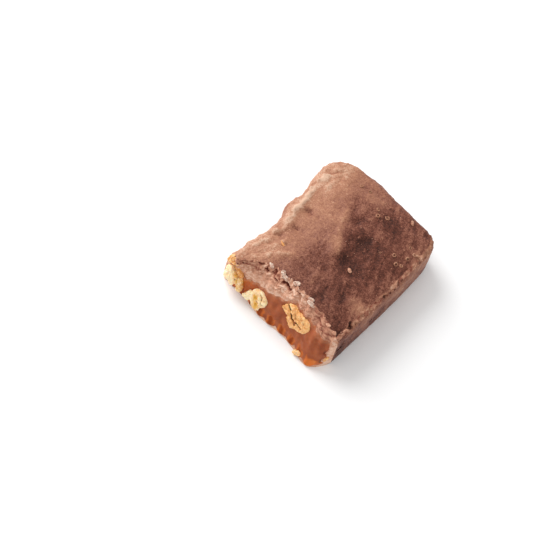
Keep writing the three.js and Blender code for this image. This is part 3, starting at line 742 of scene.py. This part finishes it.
# %% Helpers for node trees
def srgb(code):
    """A colour written as #rrggbb, in linear light."""
    parts = [int(code[i:i + 2], 16) / 255 for i in (1, 3, 5)]
    return [c / 12.92 if c <= 0.04045 else ((c + 0.055) / 1.055) ** 2.4 for c in parts] + [1.0]


def add(tree, kind, settings=None, links=None):
    """Add a node. A setting or link is named by the node's property, or by its socket's name or number.

    A link comes from a socket, or from a node, and then from the first output that the node has in use.
    """
    node = tree.nodes.new(kind)
    for name, value in (settings or {}).items():
        if isinstance(name, str) and name in node.bl_rna.properties:
            setattr(node, name, value)
        else:
            node.inputs[name].default_value = value
    for name, source in (links or {}).items():
        if isinstance(source, bpy.types.Node):
            source = next(socket for socket in source.outputs if socket.enabled)
        tree.links.new(source, node.inputs[name])
    return node


def start_material(name):
    """An empty material, its tree and shader, and coordinates in millimetres."""
    material = bpy.data.materials.new(name)
    material.use_nodes = True
    tree = material.node_tree
    tree.nodes.clear()
    shader = add(tree, "ShaderNodeBsdfPrincipled")
    add(tree, "ShaderNodeOutputMaterial", links={"Surface": shader})
    place = add(tree, "ShaderNodeTexCoord").outputs["Object"]
    in_mm = add(tree, "ShaderNodeMapping", {"Scale": (1 / MM, 1 / MM, 1 / MM)}, {"Vector": place})
    return material, tree, shader, in_mm


def paint_stops(ramp, stops):
    """Fill a colour ramp with [place, hex] stops."""
    for i, (place, code) in enumerate(stops):
        stop = ramp.color_ramp.elements[i] if i < 2 else ramp.color_ramp.elements.new(place)
        stop.position, stop.color = place, srgb(code)


print("mid brown in linear light:", [round(c, 3) for c in srgb("#a16c58")])

# %% [markdown]
# Set milk chocolate is smooth but not shiny. Bloom lightens it in clouds a few millimetres wide, and breaks
# up into pale flecks and dark pores about as wide as a grain of salt. The colours are matched to the
# photograph: reddish brown in the hollows, as painted shade, and a greyish tan where bloom and painted light
# lie.
# Bubbles that burst as it set left pale rings.

# %% Milk chocolate, poured and set, with bloom and painted light and shade
set_chocolate, tree, shader, mm = start_material("milk_chocolate_poured_and_set")
# A dry film of fat over fine solids: a broad, weak highlight
shader.inputs["IOR"].default_value = 1.46
shader.inputs["Specular IOR Level"].default_value = 0.2
# Bloom is a dust of fat: seen along the surface, as on the right wall, it greys the chocolate
shader.inputs["Sheen Weight"].default_value = 0.12
shader.inputs["Sheen Tint"].default_value = srgb("#f2c4bc")
shader.inputs["Sheen Roughness"].default_value = 0.35
toned = add(tree, "ShaderNodeAttribute", {"attribute_name": "bloom_and_painted_light"}).outputs["Fac"]
patterns = []
for wide, detail, share in PATTERNS:
    pattern = {"Scale": 1 / wide, "Detail": detail, "Roughness": 0.65}
    patterns.append(add(tree, "ShaderNodeTexNoise", pattern, {"Vector": mm}))
    toned = add(tree, "ShaderNodeMath", {"operation": "MULTIPLY_ADD", 1: share}, {0: patterns[-1], 2: toned})
_, flecks, pores = patterns
# Rings about 0.8 mm wide, in about a fifth of the cells, pulled out of round and broken up by noise
pull = add(tree, "ShaderNodeTexNoise", {"Scale": 1 / 0.9, "Detail": 2.0}, {"Vector": mm}).outputs["Color"]
pulled = add(tree, "ShaderNodeVectorMath", {"operation": "MULTIPLY_ADD", 1: (1.6, 1.6, 1.6)},
             {0: pull, 2: mm})
cells = add(tree, "ShaderNodeTexVoronoi", {"Scale": 1 / 1.5, "Randomness": 1.0}, {"Vector": pulled})
off_ring = add(tree, "ShaderNodeMath", {"operation": "SUBTRACT", 1: 0.26}, {0: cells.outputs["Distance"]})
off_ring = add(tree, "ShaderNodeMath", {"operation": "ABSOLUTE"}, {0: off_ring})
ring_line = {"From Min": 0.03, "From Max": 0.11, "To Min": 0.34, "To Max": 0.0}
ring = add(tree, "ShaderNodeMapRange", ring_line, {"Value": off_ring})
chosen = add(tree, "ShaderNodeSeparateColor", links={"Color": cells.outputs["Color"]})
few = add(tree, "ShaderNodeMapRange", {"From Min": 0.72, "From Max": 0.9}, {"Value": chosen})
few = add(tree, "ShaderNodeMath", {"operation": "MULTIPLY"}, {0: few, 1: pores})
toned = add(tree, "ShaderNodeMath", {"operation": "MULTIPLY_ADD"}, {0: ring, 1: few, 2: toned})
# The ramp's dark end is painted shade as well as chocolate, and its pale end painted light as well as bloom
ramp = add(tree, "ShaderNodeValToRGB", links={"Fac": toned})
paint_stops(ramp, [[0.0, "#32150c"], [1.0, "#c9a58c"], [0.15, "#4c271b"], [0.3, "#68392b"],
                   [0.45, "#885745"], [0.6, "#9a6850"], [0.75, "#ab785d"], [0.9, "#bd947b"]])
tree.links.new(ramp.outputs["Color"], shader.inputs["Base Color"])
gloss = add(tree, "ShaderNodeMapRange", {"To Min": 0.45, "To Max": 0.7}, {"Value": flecks})
tree.links.new(gloss.outputs["Result"], shader.inputs["Roughness"])
bump = add(tree, "ShaderNodeBump", {"Strength": 0.7, "Distance": 0.00014}, {"Height": pores})
tree.links.new(bump.outputs["Normal"], shader.inputs["Normal"])
print(set_chocolate.name, "has", len(tree.nodes), "nodes")

# %% [markdown]
# Where chocolate has snapped, its crumb is dull, paler and pinker than the skin, because the broken fat
# crystals scatter light. The layers show as streaks that run with the lip. Deep crevices and cracks are
# painted dark, as the shade that fills them, and the chips that stand out are painted paler, as light.

# %% Milk chocolate, freshly broken
broken_chocolate, tree, shader, mm = start_material("milk_chocolate_freshly_broken")
# Broken crystals scatter light every way: no gloss to speak of
shader.inputs["Roughness"].default_value = 0.78
shader.inputs["Specular IOR Level"].default_value = 0.2
layers = add(tree, "ShaderNodeMapping", {"Scale": (1 / 2.6, 1 / 0.8, 1 / 0.7)}, {"Vector": mm})
streaks = add(tree, "ShaderNodeTexNoise", {"Scale": 1.0, "Detail": 4.0, "Roughness": 0.65},
              {"Vector": layers})
grain = add(tree, "ShaderNodeTexNoise", {"Scale": 1 / 0.5, "Detail": 3.0}, {"Vector": mm})
crumb_here = add(tree, "ShaderNodeAttribute", {"attribute_name": "crumb"}).outputs["Fac"]
streaked = add(tree, "ShaderNodeMath", {"operation": "MULTIPLY_ADD", 1: 0.75, 2: 0.13}, {0: streaks})
lifted = add(tree, "ShaderNodeMath", {"operation": "MULTIPLY_ADD", 1: 0.75}, {0: crumb_here, 2: streaked})
toned = add(tree, "ShaderNodeMath", {"operation": "MULTIPLY_ADD", 1: 0.35}, {0: grain, 2: lifted})
# The ramp's dark end is painted shade in the cracks and crevices
ramp = add(tree, "ShaderNodeValToRGB", links={"Fac": toned})
paint_stops(ramp, [[0.15, "#672d1d"], [0.92, "#e3bca4"], [0.35, "#985d4a"], [0.55, "#bc876d"],
                   [0.72, "#cc987d"]])
tree.links.new(ramp.outputs["Color"], shader.inputs["Base Color"])
bump = add(tree, "ShaderNodeBump", {"Strength": 0.6, "Distance": 0.00012}, {"Height": grain})
tree.links.new(bump.outputs["Normal"], shader.inputs["Normal"])
coat.data.materials[0], coat.data.materials[1] = set_chocolate, broken_chocolate
print(broken_chocolate.name, "has", len(tree.nodes), "nodes")

# %% [markdown]
# Soft caramel is sugar, milk and butter boiled together. Light goes into it, scatters off the milk and comes
# out a little way along, so it needs subsurface scattering. Where it is thin it turns to clear amber.

# %% Soft caramel, pulled and torn
soft_caramel, tree, shader, mm = start_material("soft_caramel_torn")
# A smooth skin over a milky body: a soft highlight and soft shadows
shader.inputs["IOR"].default_value = 1.49
shader.inputs["Roughness"].default_value = 0.36
shader.inputs["Specular IOR Level"].default_value = 0.15
shader.inputs["Subsurface Weight"].default_value = 0.4
shader.inputs["Subsurface Radius"].default_value = (1.0, 0.42, 0.18)
shader.inputs["Subsurface Scale"].default_value = 0.0004
milk = add(tree, "ShaderNodeTexNoise", {"Scale": 1 / 2.6, "Detail": 3.0}, {"Vector": mm})
body = add(tree, "ShaderNodeValToRGB", links={"Fac": milk})
paint_stops(body, [[0.3, "#8e4628"], [0.7, "#ad5f3a"]])
# On a Mix node for colours, socket 6 is the first colour and 7 the second
# The glow is painted light, a brighter orange; amber and smear are the caramel's own colours
for label, code in (("painted_glow", "#da7630"), ("amber", "#8e3a02"), ("smear", "#c48a6a")):
    share = add(tree, "ShaderNodeAttribute", {"attribute_name": label}).outputs["Fac"]
    body = add(tree, "ShaderNodeMix", {"data_type": "RGBA", 7: srgb(code)}, {0: share, 6: body})
tree.links.new(body.outputs[2], shader.inputs["Base Color"])
soft = add(tree, "ShaderNodeTexNoise", {"Scale": 1 / 1.3, "Detail": 2.0}, {"Vector": mm})
bump = add(tree, "ShaderNodeBump", {"Strength": 0.35, "Distance": 0.0002}, {"Height": soft})
tree.links.new(bump.outputs["Normal"], shader.inputs["Normal"])
caramel.data.materials.clear()
caramel.data.materials.append(soft_caramel)
print(soft_caramel.name, "has", len(tree.nodes), "nodes")

# %% [markdown]
# Roasted peanut flesh runs from cream to gold, browner where the heat reached it, and its cracks are painted
# dark brown, as shade. The oil in it gives a waxy look: a little scattering under the surface and a soft
# highlight. Each kernel carries its own gold, which also holds painted shade and light in its grain, so one
# rule serves all, and the record's two peanut finishes differ in their tones only.

# %% Roasted peanut, split open
def peanut_flesh(name, stops):
    material, tree, shader, mm = start_material(name)
    # Oily and dense: a soft highlight, and light that bleeds under thin edges
    shader.inputs["Roughness"].default_value = 0.5
    shader.inputs["Specular IOR Level"].default_value = 0.35
    shader.inputs["Subsurface Weight"].default_value = 0.3
    shader.inputs["Subsurface Radius"].default_value = (1.0, 0.6, 0.3)
    shader.inputs["Subsurface Scale"].default_value = 0.0006
    patches = add(tree, "ShaderNodeTexNoise", {"Scale": 1 / 1.6, "Detail": 4.0}, {"Vector": mm})
    fibres = add(tree, "ShaderNodeTexNoise", {"Scale": 1 / 0.4, "Detail": 3.0}, {"Vector": mm})
    gold_here = add(tree, "ShaderNodeAttribute", {"attribute_name": "gold"}).outputs["Fac"]
    crack_here = add(tree, "ShaderNodeAttribute", {"attribute_name": "crack"}).outputs["Fac"]
    patched = add(tree, "ShaderNodeMath", {"operation": "MULTIPLY_ADD", 1: 0.7}, {0: patches, 2: gold_here})
    toned = add(tree, "ShaderNodeMath", {"operation": "MULTIPLY_ADD", 1: 0.3}, {0: fibres, 2: patched})
    settled = add(tree, "ShaderNodeMath", {"operation": "SUBTRACT", 1: 0.5}, {0: toned})
    ramp = add(tree, "ShaderNodeValToRGB", links={"Fac": settled})
    paint_stops(ramp, stops)
    # Cracks are painted dark brown, the deeper the darker, as shade
    deep = add(tree, "ShaderNodeMapRange", {"From Min": 0.12, "From Max": 0.6}, {"Value": crack_here})
    flesh = add(tree, "ShaderNodeMix", {"data_type": "RGBA", 7: srgb("#3a1a0b")}, {0: deep, 6: ramp})
    tree.links.new(flesh.outputs[2], shader.inputs["Base Color"])
    bump = add(tree, "ShaderNodeBump", {"Strength": 0.4, "Distance": 0.0001}, {"Height": fibres})
    tree.links.new(bump.outputs["Normal"], shader.inputs["Normal"])
    return material


PALE_ONES = ("peanut_round", "peanut_corner", "peanut_tooth", "peanut_sliver")
golden = peanut_flesh("roasted_peanut_golden", [
    [0.0, "#fbd9a2"], [1.0, "#b97331"], [0.4, "#f2bd80"], [0.7, "#e09c58"]])
pale = peanut_flesh("roasted_peanut_pale", [
    [0.0, "#ffe6bc"], [1.0, "#c58a2e"], [0.3, "#f0c68e"], [0.65, "#e8ae42"]])
for name, piece in kernels.items():
    piece.data.materials.clear()
    piece.data.materials.append(pale if name in PALE_ONES else golden)
print("peanut finishes:", golden.name, "and", pale.name)

# %% [markdown]
# Flakes of chocolate stand loose along the lip where the coat snapped. Geometry Nodes suit them: points on
# the lip say where and how long each flake is, and the tree puts a ball on each point, flattens it, makes it
# real, and only then roughens it, so that no two flakes are alike.

# %% Helpers for Geometry Nodes trees
TOP_FROM = 10.5  # the skin above this height, in mm, is the top


def start_tree(name, inputs):
    """An empty tree with named inputs, their identifiers, and the sockets that hand them out."""
    tree = bpy.data.node_groups.new(name, "GeometryNodeTree")
    identifiers = {}
    for label, kind in inputs.items():
        socket = tree.interface.new_socket(label, in_out="INPUT", socket_type="NodeSocket" + kind)
        identifiers[label] = socket.identifier
    tree.interface.new_socket("Pieces", in_out="OUTPUT", socket_type="NodeSocketGeometry")
    return tree, identifiers, add(tree, "NodeGroupInput").outputs


def end_tree(tree, given, pieces, wide):
    """Make instances real, roughen each on its own with bumps as wide as said, in mm, and paint them."""
    real = add(tree, "GeometryNodeRealizeInstances", links={0: pieces})
    wobble = add(tree, "ShaderNodeTexNoise", {"Scale": 1 / (wide * MM), "Detail": 4.0, "Roughness": 0.65})
    centred = add(tree, "ShaderNodeVectorMath", {"operation": "SUBTRACT", 1: (0.5, 0.5, 0.5)},
                  {0: wobble.outputs["Color"]})
    scaled = add(tree, "ShaderNodeVectorMath", {"operation": "SCALE"},
                 {0: centred, "Scale": given["Raggedness"]})
    moved = add(tree, "GeometryNodeSetPosition", links={"Geometry": real, "Offset": scaled})
    painted = add(tree, "GeometryNodeSetMaterial", links={"Geometry": moved, "Material": given["Material"]})
    add(tree, "NodeGroupOutput", links={0: painted})


def grow(name, mesh, tree, identifiers, values):
    """Run a tree on a mesh and keep what it makes as a plain mesh piece."""
    piece = bpy.data.objects.new(name, mesh)
    bpy.context.scene.collection.objects.link(piece)
    modifier = piece.modifiers.new("grow", "NODES")
    modifier.node_group = tree
    for label, value in values.items():
        modifier[identifiers[label]] = value
    as_plain_mesh(piece)
    return piece


def spots_mesh(name, spots):
    """A mesh of bare points, from places in mm of the bar."""
    mesh = bpy.data.meshes.new(name)
    mesh.from_pydata(((spots + PLACE) * MM).tolist(), [], [])
    return mesh


def on_skin(spots):
    """The numbers of the skin's points nearest to places [across, along] on the top."""
    skin_top = np.flatnonzero((points[:, 2] > TOP_FROM) & ~on_break)
    return skin_top[[np.argmin(np.hypot(*(points[skin_top, :2] - spot).T)) for spot in spots]]


print("the skin's point over the middle of the bar is", points[on_skin([[0, 0]])][0].round(2), "in mm")

# %% A tree for loose flakes
flake_tree, flake_inputs, given = start_tree("flakes_on_the_lip", {
    "Points": "Geometry", "Width share": "Float", "Thickness share": "Float", "Raggedness": "Float",
    "Seed": "Int", "Material": "Material"})
ball = add(flake_tree, "GeometryNodeMeshIcoSphere", {"Radius": 1.0, "Subdivisions": 4})
length = add(flake_tree, "GeometryNodeInputNamedAttribute", {"data_type": "FLOAT", "Name": "length"})
width = add(flake_tree, "ShaderNodeMath", {"operation": "MULTIPLY"}, {0: length, 1: given["Width share"]})
thick = add(flake_tree, "ShaderNodeMath", {"operation": "MULTIPLY"}, {0: length, 1: given["Thickness share"]})
size = add(flake_tree, "ShaderNodeCombineXYZ", links={0: length, 1: width, 2: thick})
turn_range = {"data_type": "FLOAT_VECTOR", 0: (-0.9, -0.5, -0.9), 1: (0.2, 0.5, 0.6)}
turned = add(flake_tree, "FunctionNodeRandomValue", turn_range, {"Seed": given["Seed"]})
placed = add(flake_tree, "GeometryNodeInstanceOnPoints", links={
    "Points": given["Points"], "Instance": ball, "Rotation": turned, "Scale": size})
end_tree(flake_tree, given, placed, 0.9)
print("flake tree:", len(flake_tree.nodes), "nodes")

# %% The finish of a white flake
pale_flake, tree, shader, mm = start_material("milk_chocolate_loose_flake")
# A thin splinter scatters light all through: nearly white, with a breath of pink
shader.inputs["Roughness"].default_value = 0.7
frost = add(tree, "ShaderNodeTexNoise", {"Scale": 1 / 0.6, "Detail": 3.0}, {"Vector": mm})
ramp = add(tree, "ShaderNodeValToRGB", links={"Fac": frost})
paint_stops(ramp, [[0.36, "#b5826c"], [0.6, "#e4cdba"]])
tree.links.new(ramp.outputs["Color"], shader.inputs["Base Color"])
print(pale_flake.name, "has", len(tree.nodes), "nodes")

# %% Set the flakes along the lip
# Each flake is [place across, half length]; some are white all through, and some as pink as the break
WHITE_FLAKES = [[-9.6, 1.1], [-4.8, 1.5], [-3.4, 0.9], [0.6, 1.3], [7.4, 1.1], [8.4, 1.6]]
PINK_FLAKES = [[-15, 0.6], [-2.4, 0.6], [1.8, 0.8], [4.1, 1.0], [6.1, 0.9],
               [12.6, 0.6], [16.7, 1.0], [19.9, 1.0], [22.2, 0.6]]
FALLEN_SPOTS, NUT_SPOTS = [[9.1, -4.2], [12.6, 26.3]], [[-12.7, -11.6]]
lip_row = points[ids[:, 0, -1]]


def set_flakes(name, spots, lengths, sunk, material):
    mesh = spots_mesh(name + "_spots", spots + [0, -0.1, -sunk])
    write(mesh, "length", MM * np.array(lengths))
    return grow(name, mesh, flake_tree, flake_inputs, {
        "Width share": 0.6, "Thickness share": 0.3, "Raggedness": 1.2 * MM, "Seed": 7, "Material": material})


def on_lip(flakes):
    spots = [lip_row[np.argmin(np.abs(lip_row[:, 0] - across))] for across, _ in flakes]
    return np.array(spots), [length for _, length in flakes]


white_flakes = set_flakes("white_flakes", *on_lip(WHITE_FLAKES), 0.0, pale_flake)
pink_flakes = set_flakes("pink_flakes", *on_lip(PINK_FLAKES), 0.25, broken_chocolate)
# Two flakes that fell on the top, and a crumb of nut that shows through the left shoulder
fallen_flakes = set_flakes("fallen_flakes", points[on_skin(FALLEN_SPOTS)], [1.0, 1.0], 0.2, broken_chocolate)
write(fallen_flakes.data, "crumb", np.full(len(fallen_flakes.data.vertices), 0.0))
nut_crumb = set_flakes("nut_crumb", points[on_skin(NUT_SPOTS)], [1.1], 0.4, golden)
write(nut_crumb.data, "gold", np.full(len(nut_crumb.data.vertices), 0.6))
flakes = (white_flakes, pink_flakes, fallen_flakes, nut_crumb)
print("flakes:", sum(len(piece.data.polygons) for piece in flakes), "faces")

# %% [markdown]
# Crumbs lie on the break and on the right edge beside it, and grains of bloom on the top. Both are scattered
# by one tree over the coat's own faces, so they sit on the surface wherever it goes. A number on the coat
# says how thickly they lie.

# %% A tree for scattered crumbs
crumb_tree, crumb_inputs, given = start_tree("crumbs_on_a_surface", {
    "Surface": "Geometry", "Crumbs per square metre": "Float", "Smallest": "Float", "Largest": "Float",
    "Raggedness": "Float", "Seed": "Int", "Material": "Material"})
amount = add(crumb_tree, "GeometryNodeInputNamedAttribute", {"data_type": "FLOAT", "Name": "crumbs"})
density = add(crumb_tree, "ShaderNodeMath", {"operation": "MULTIPLY"},
              {0: amount, 1: given["Crumbs per square metre"]})
spread = add(crumb_tree, "GeometryNodeDistributePointsOnFaces", links={
    "Mesh": given["Surface"], "Density": density, "Seed": given["Seed"]})
ball = add(crumb_tree, "GeometryNodeMeshIcoSphere", {"Radius": 1.0, "Subdivisions": 2})
size = add(crumb_tree, "FunctionNodeRandomValue", {"data_type": "FLOAT"}, {
    2: given["Smallest"], 3: given["Largest"], "Seed": given["Seed"]})
turn_range = {"data_type": "FLOAT_VECTOR", 1: (6.28, 6.28, 6.28)}
turned = add(crumb_tree, "FunctionNodeRandomValue", turn_range, {"Seed": given["Seed"]})
squashed = add(crumb_tree, "ShaderNodeVectorMath", {"operation": "SCALE", 0: (1.0, 0.7, 0.5)},
               {"Scale": size})
placed = add(crumb_tree, "GeometryNodeInstanceOnPoints", links={
    "Points": spread, "Instance": ball, "Rotation": turned, "Scale": squashed})
end_tree(crumb_tree, given, placed, 0.3)
print("crumb tree:", len(crumb_tree.nodes), "nodes")

# %% Scatter crumbs on the break and grains on the skin
front_face = np.zeros(len(coat.data.vertices))
for face in coat.data.polygons:
    if face.material_index == 1:
        front_face[list(face.vertices)] = 1
hx, hy, hz = coat_points.T
by_break = hy < break_at(hx, hz / (1 + rise(hx, hy) / EDGE_HEIGHT)) + 0.8
torn = front_face * smooth(hz, 9.5, 11) * by_break
torn += 0.6 * right_edge[nearest] * smooth(-hy, 4, 9)
top = (1 - front_face) * smooth(hz, 11, 13.5) * smooth(hx + 0.4 * hy, 0, 12)


def scatter(name, amount, per_mm2, smallest, largest, seed, material):
    surface = coat.data.copy()
    write(surface, "crumbs", amount)
    return grow(name, surface, crumb_tree, crumb_inputs, {
        "Crumbs per square metre": per_mm2 / MM ** 2, "Smallest": smallest * MM, "Largest": largest * MM,
        "Raggedness": smallest * MM, "Seed": seed, "Material": material})


crumbs = scatter("break_crumbs", torn, 0.9, 0.12, 0.4, 3, broken_chocolate)
write(crumbs.data, "crumb", -0.15 - 0.4 * smooth(points_of(crumbs)[:, 0], 16, 20))
grains = scatter("bloom_grains", top, 0.16, 0.06, 0.18, 5, broken_chocolate)
print("crumbs:", len(crumbs.data.polygons), "faces; grains:", len(grains.data.polygons), "faces")

# %% [markdown]
# The widest of the burst bubbles left a raised rim that catches the light. A ring is a circle swept along a
# larger one, set on points of the skin. The points carry the way that the skin faces there, and the tree
# turns each ring to it.

# %% A tree for rims of burst bubbles
ring_tree, ring_inputs, given = start_tree("rims_of_bubbles", {
    "Points": "Geometry", "Thickness share": "Float", "Smallest": "Float", "Largest": "Float",
    "Raggedness": "Float", "Seed": "Int", "Material": "Material"})
path = add(ring_tree, "GeometryNodeCurvePrimitiveCircle", {"Resolution": 28, "Radius": 1.0})
section = add(ring_tree, "GeometryNodeCurvePrimitiveCircle", {"Resolution": 10},
              {"Radius": given["Thickness share"]})
swept = add(ring_tree, "GeometryNodeCurveToMesh", links={"Curve": path, "Profile Curve": section})
facing = add(ring_tree, "GeometryNodeInputNamedAttribute", {"data_type": "FLOAT_VECTOR", "Name": "facing"})
turned = add(ring_tree, "FunctionNodeAlignRotationToVector", {"axis": "Z"}, {"Vector": facing})
size = add(ring_tree, "FunctionNodeRandomValue", {"data_type": "FLOAT"}, {
    2: given["Smallest"], 3: given["Largest"], "Seed": given["Seed"]})
placed = add(ring_tree, "GeometryNodeInstanceOnPoints", links={
    "Points": given["Points"], "Instance": swept, "Rotation": turned, "Scale": size})
end_tree(ring_tree, given, placed, 0.4)
print("ring tree:", len(ring_tree.nodes), "nodes")

# %% Set the rims on the top
# Where the widest bubbles burst, each [across, along]
RINGS = [[-8.9, 25.7], [-5.1, 25.9], [2.8, 19.3], [5.6, 21.5], [1.3, 21.7], [18.4, 9.2], [15.9, 11.5],
         [12.2, 8.7], [19.9, 13.5], [21.7, 17.2], [20.7, 16.4], [19.9, 10], [18, 17.8]]
# A tilt sinks part of each rim, so what shows is an arc
RING_TILT, RING_SEED, RING_BLOOM = 0.25, 4, 0.7
at = on_skin(RINGS)
tilted = normals[at] + np.random.default_rng(RING_SEED).normal(0, RING_TILT, (len(at), 3))
ring_spots = spots_mesh("ring_spots", points[at])
ring_spots.attributes.new("facing", "FLOAT_VECTOR", "POINT").data.foreach_set("vector", tilted.ravel())
rings = grow("bubble_rims", ring_spots, ring_tree, ring_inputs, {
    "Thickness share": 0.42, "Smallest": 0.3 * MM, "Largest": 0.62 * MM, "Raggedness": 0.9 * MM,
    "Seed": 11, "Material": set_chocolate})
write(rings.data, "bloom_and_painted_light", np.full(len(rings.data.vertices), RING_BLOOM - PATTERN_MIDDLE))
print("rims:", len(rings.data.polygons), "faces on", len(RINGS), "spots")

# %% [markdown]
# Each piece now takes the place of its plain solid, and everything rides on the one body the bar has.

# %% Put the pieces in place of the solids
loose = (white_flakes, pink_flakes, fallen_flakes, crumbs, grains, rings, nut_crumb)
for piece, node, finish in ((coat, "chocolate_coat", "milk_chocolate"),
                            (caramel, "caramel_filling", "caramel")):
    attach(piece, "root")
    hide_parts(node)
for name, piece in kernels.items():
    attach(piece, "root")
    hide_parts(name)
for piece in loose:
    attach(piece, "root")
print("pieces riding:", 2 + len(kernels) + len(loose))

# %% [markdown]
# The bar lies on a plain white sweep, lit by a large soft lamp from the left and by an even white room. A
# wide lamp keeps the shadow's edge soft. The camera looks down from the front right with a long lens, so the
# bar's sides stay nearly parallel.

# %% Floor and light
FLOOR_REACH = 3.0
ROOM_LIGHT = 0.78
LAMP_WIDTH, LAMP_POWER, LAMP_AWAY = 0.5, 3.8, 0.62
corners = [(FLOOR_REACH * a, FLOOR_REACH * b, 0) for a, b in ((-1, -1), (1, -1), (1, 1), (-1, 1))]
floor_mesh = bpy.data.meshes.new("floor")
floor_mesh.from_pydata(corners, [], [(0, 1, 2, 3)])
floor = bpy.data.objects.new("floor", floor_mesh)
bpy.context.scene.collection.objects.link(floor)
white_sweep, _, shader, _ = start_material("white_paper_sweep")
# Uncoated paper: white and quite dull
shader.inputs["Base Color"].default_value = srgb("#f8f8f8")
shader.inputs["Roughness"].default_value = 0.9
shader.inputs["Specular IOR Level"].default_value = 0.1
floor_mesh.materials.append(white_sweep)

world = bpy.data.worlds.new("white_room")
world.use_nodes = True
world.node_tree.nodes["Background"].inputs["Color"].default_value = srgb("#ffffff")
world.node_tree.nodes["Background"].inputs["Strength"].default_value = ROOM_LIGHT
bpy.context.scene.world = world

lamp = bpy.data.lights.new("soft_lamp", "AREA")
lamp.shape, lamp.size, lamp.energy = "DISK", LAMP_WIDTH, LAMP_POWER
lamp_object = bpy.data.objects.new("soft_lamp", lamp)
aim = Vector((-0.78, 0.16, 0.6)).normalized()
lamp_object.location = aim * LAMP_AWAY
lamp_object.rotation_euler = aim.to_track_quat("Z", "Y").to_euler()
bpy.context.scene.collection.objects.link(lamp_object)
print("lamp", round(LAMP_AWAY / MM), "mm from the bar")

# %% Camera
# The camera's own axes, and where it stands in mm of the bar, worked out from the bar's straight edges
CAMERA_RIGHT = Vector((0.75761, 0.637, 0.14235))
CAMERA_DOWN = Vector((0.60118, -0.59606, -0.53225))
CAMERA_FORWARD = Vector((-0.25419, 0.48882, -0.83453))
CAMERA_STAND = np.array([89.761, -208.245, 331.807])
camera = bpy.data.objects.new("camera", bpy.data.cameras.new("camera"))
stand = Vector((CAMERA_STAND + PLACE) * MM)
turn = Matrix((CAMERA_RIGHT, -CAMERA_DOWN, -CAMERA_FORWARD)).transposed()
camera.matrix_world = Matrix.Translation(stand) @ turn.to_4x4()
camera.data.lens, camera.data.sensor_width = 78.545, 36
camera.data.clip_start = 0.01
bpy.context.scene.collection.objects.link(camera)
bpy.context.scene.camera = camera
bpy.context.scene.view_settings.view_transform = "Standard"
print("camera", round(stand.length * 1000), "mm from the bar")
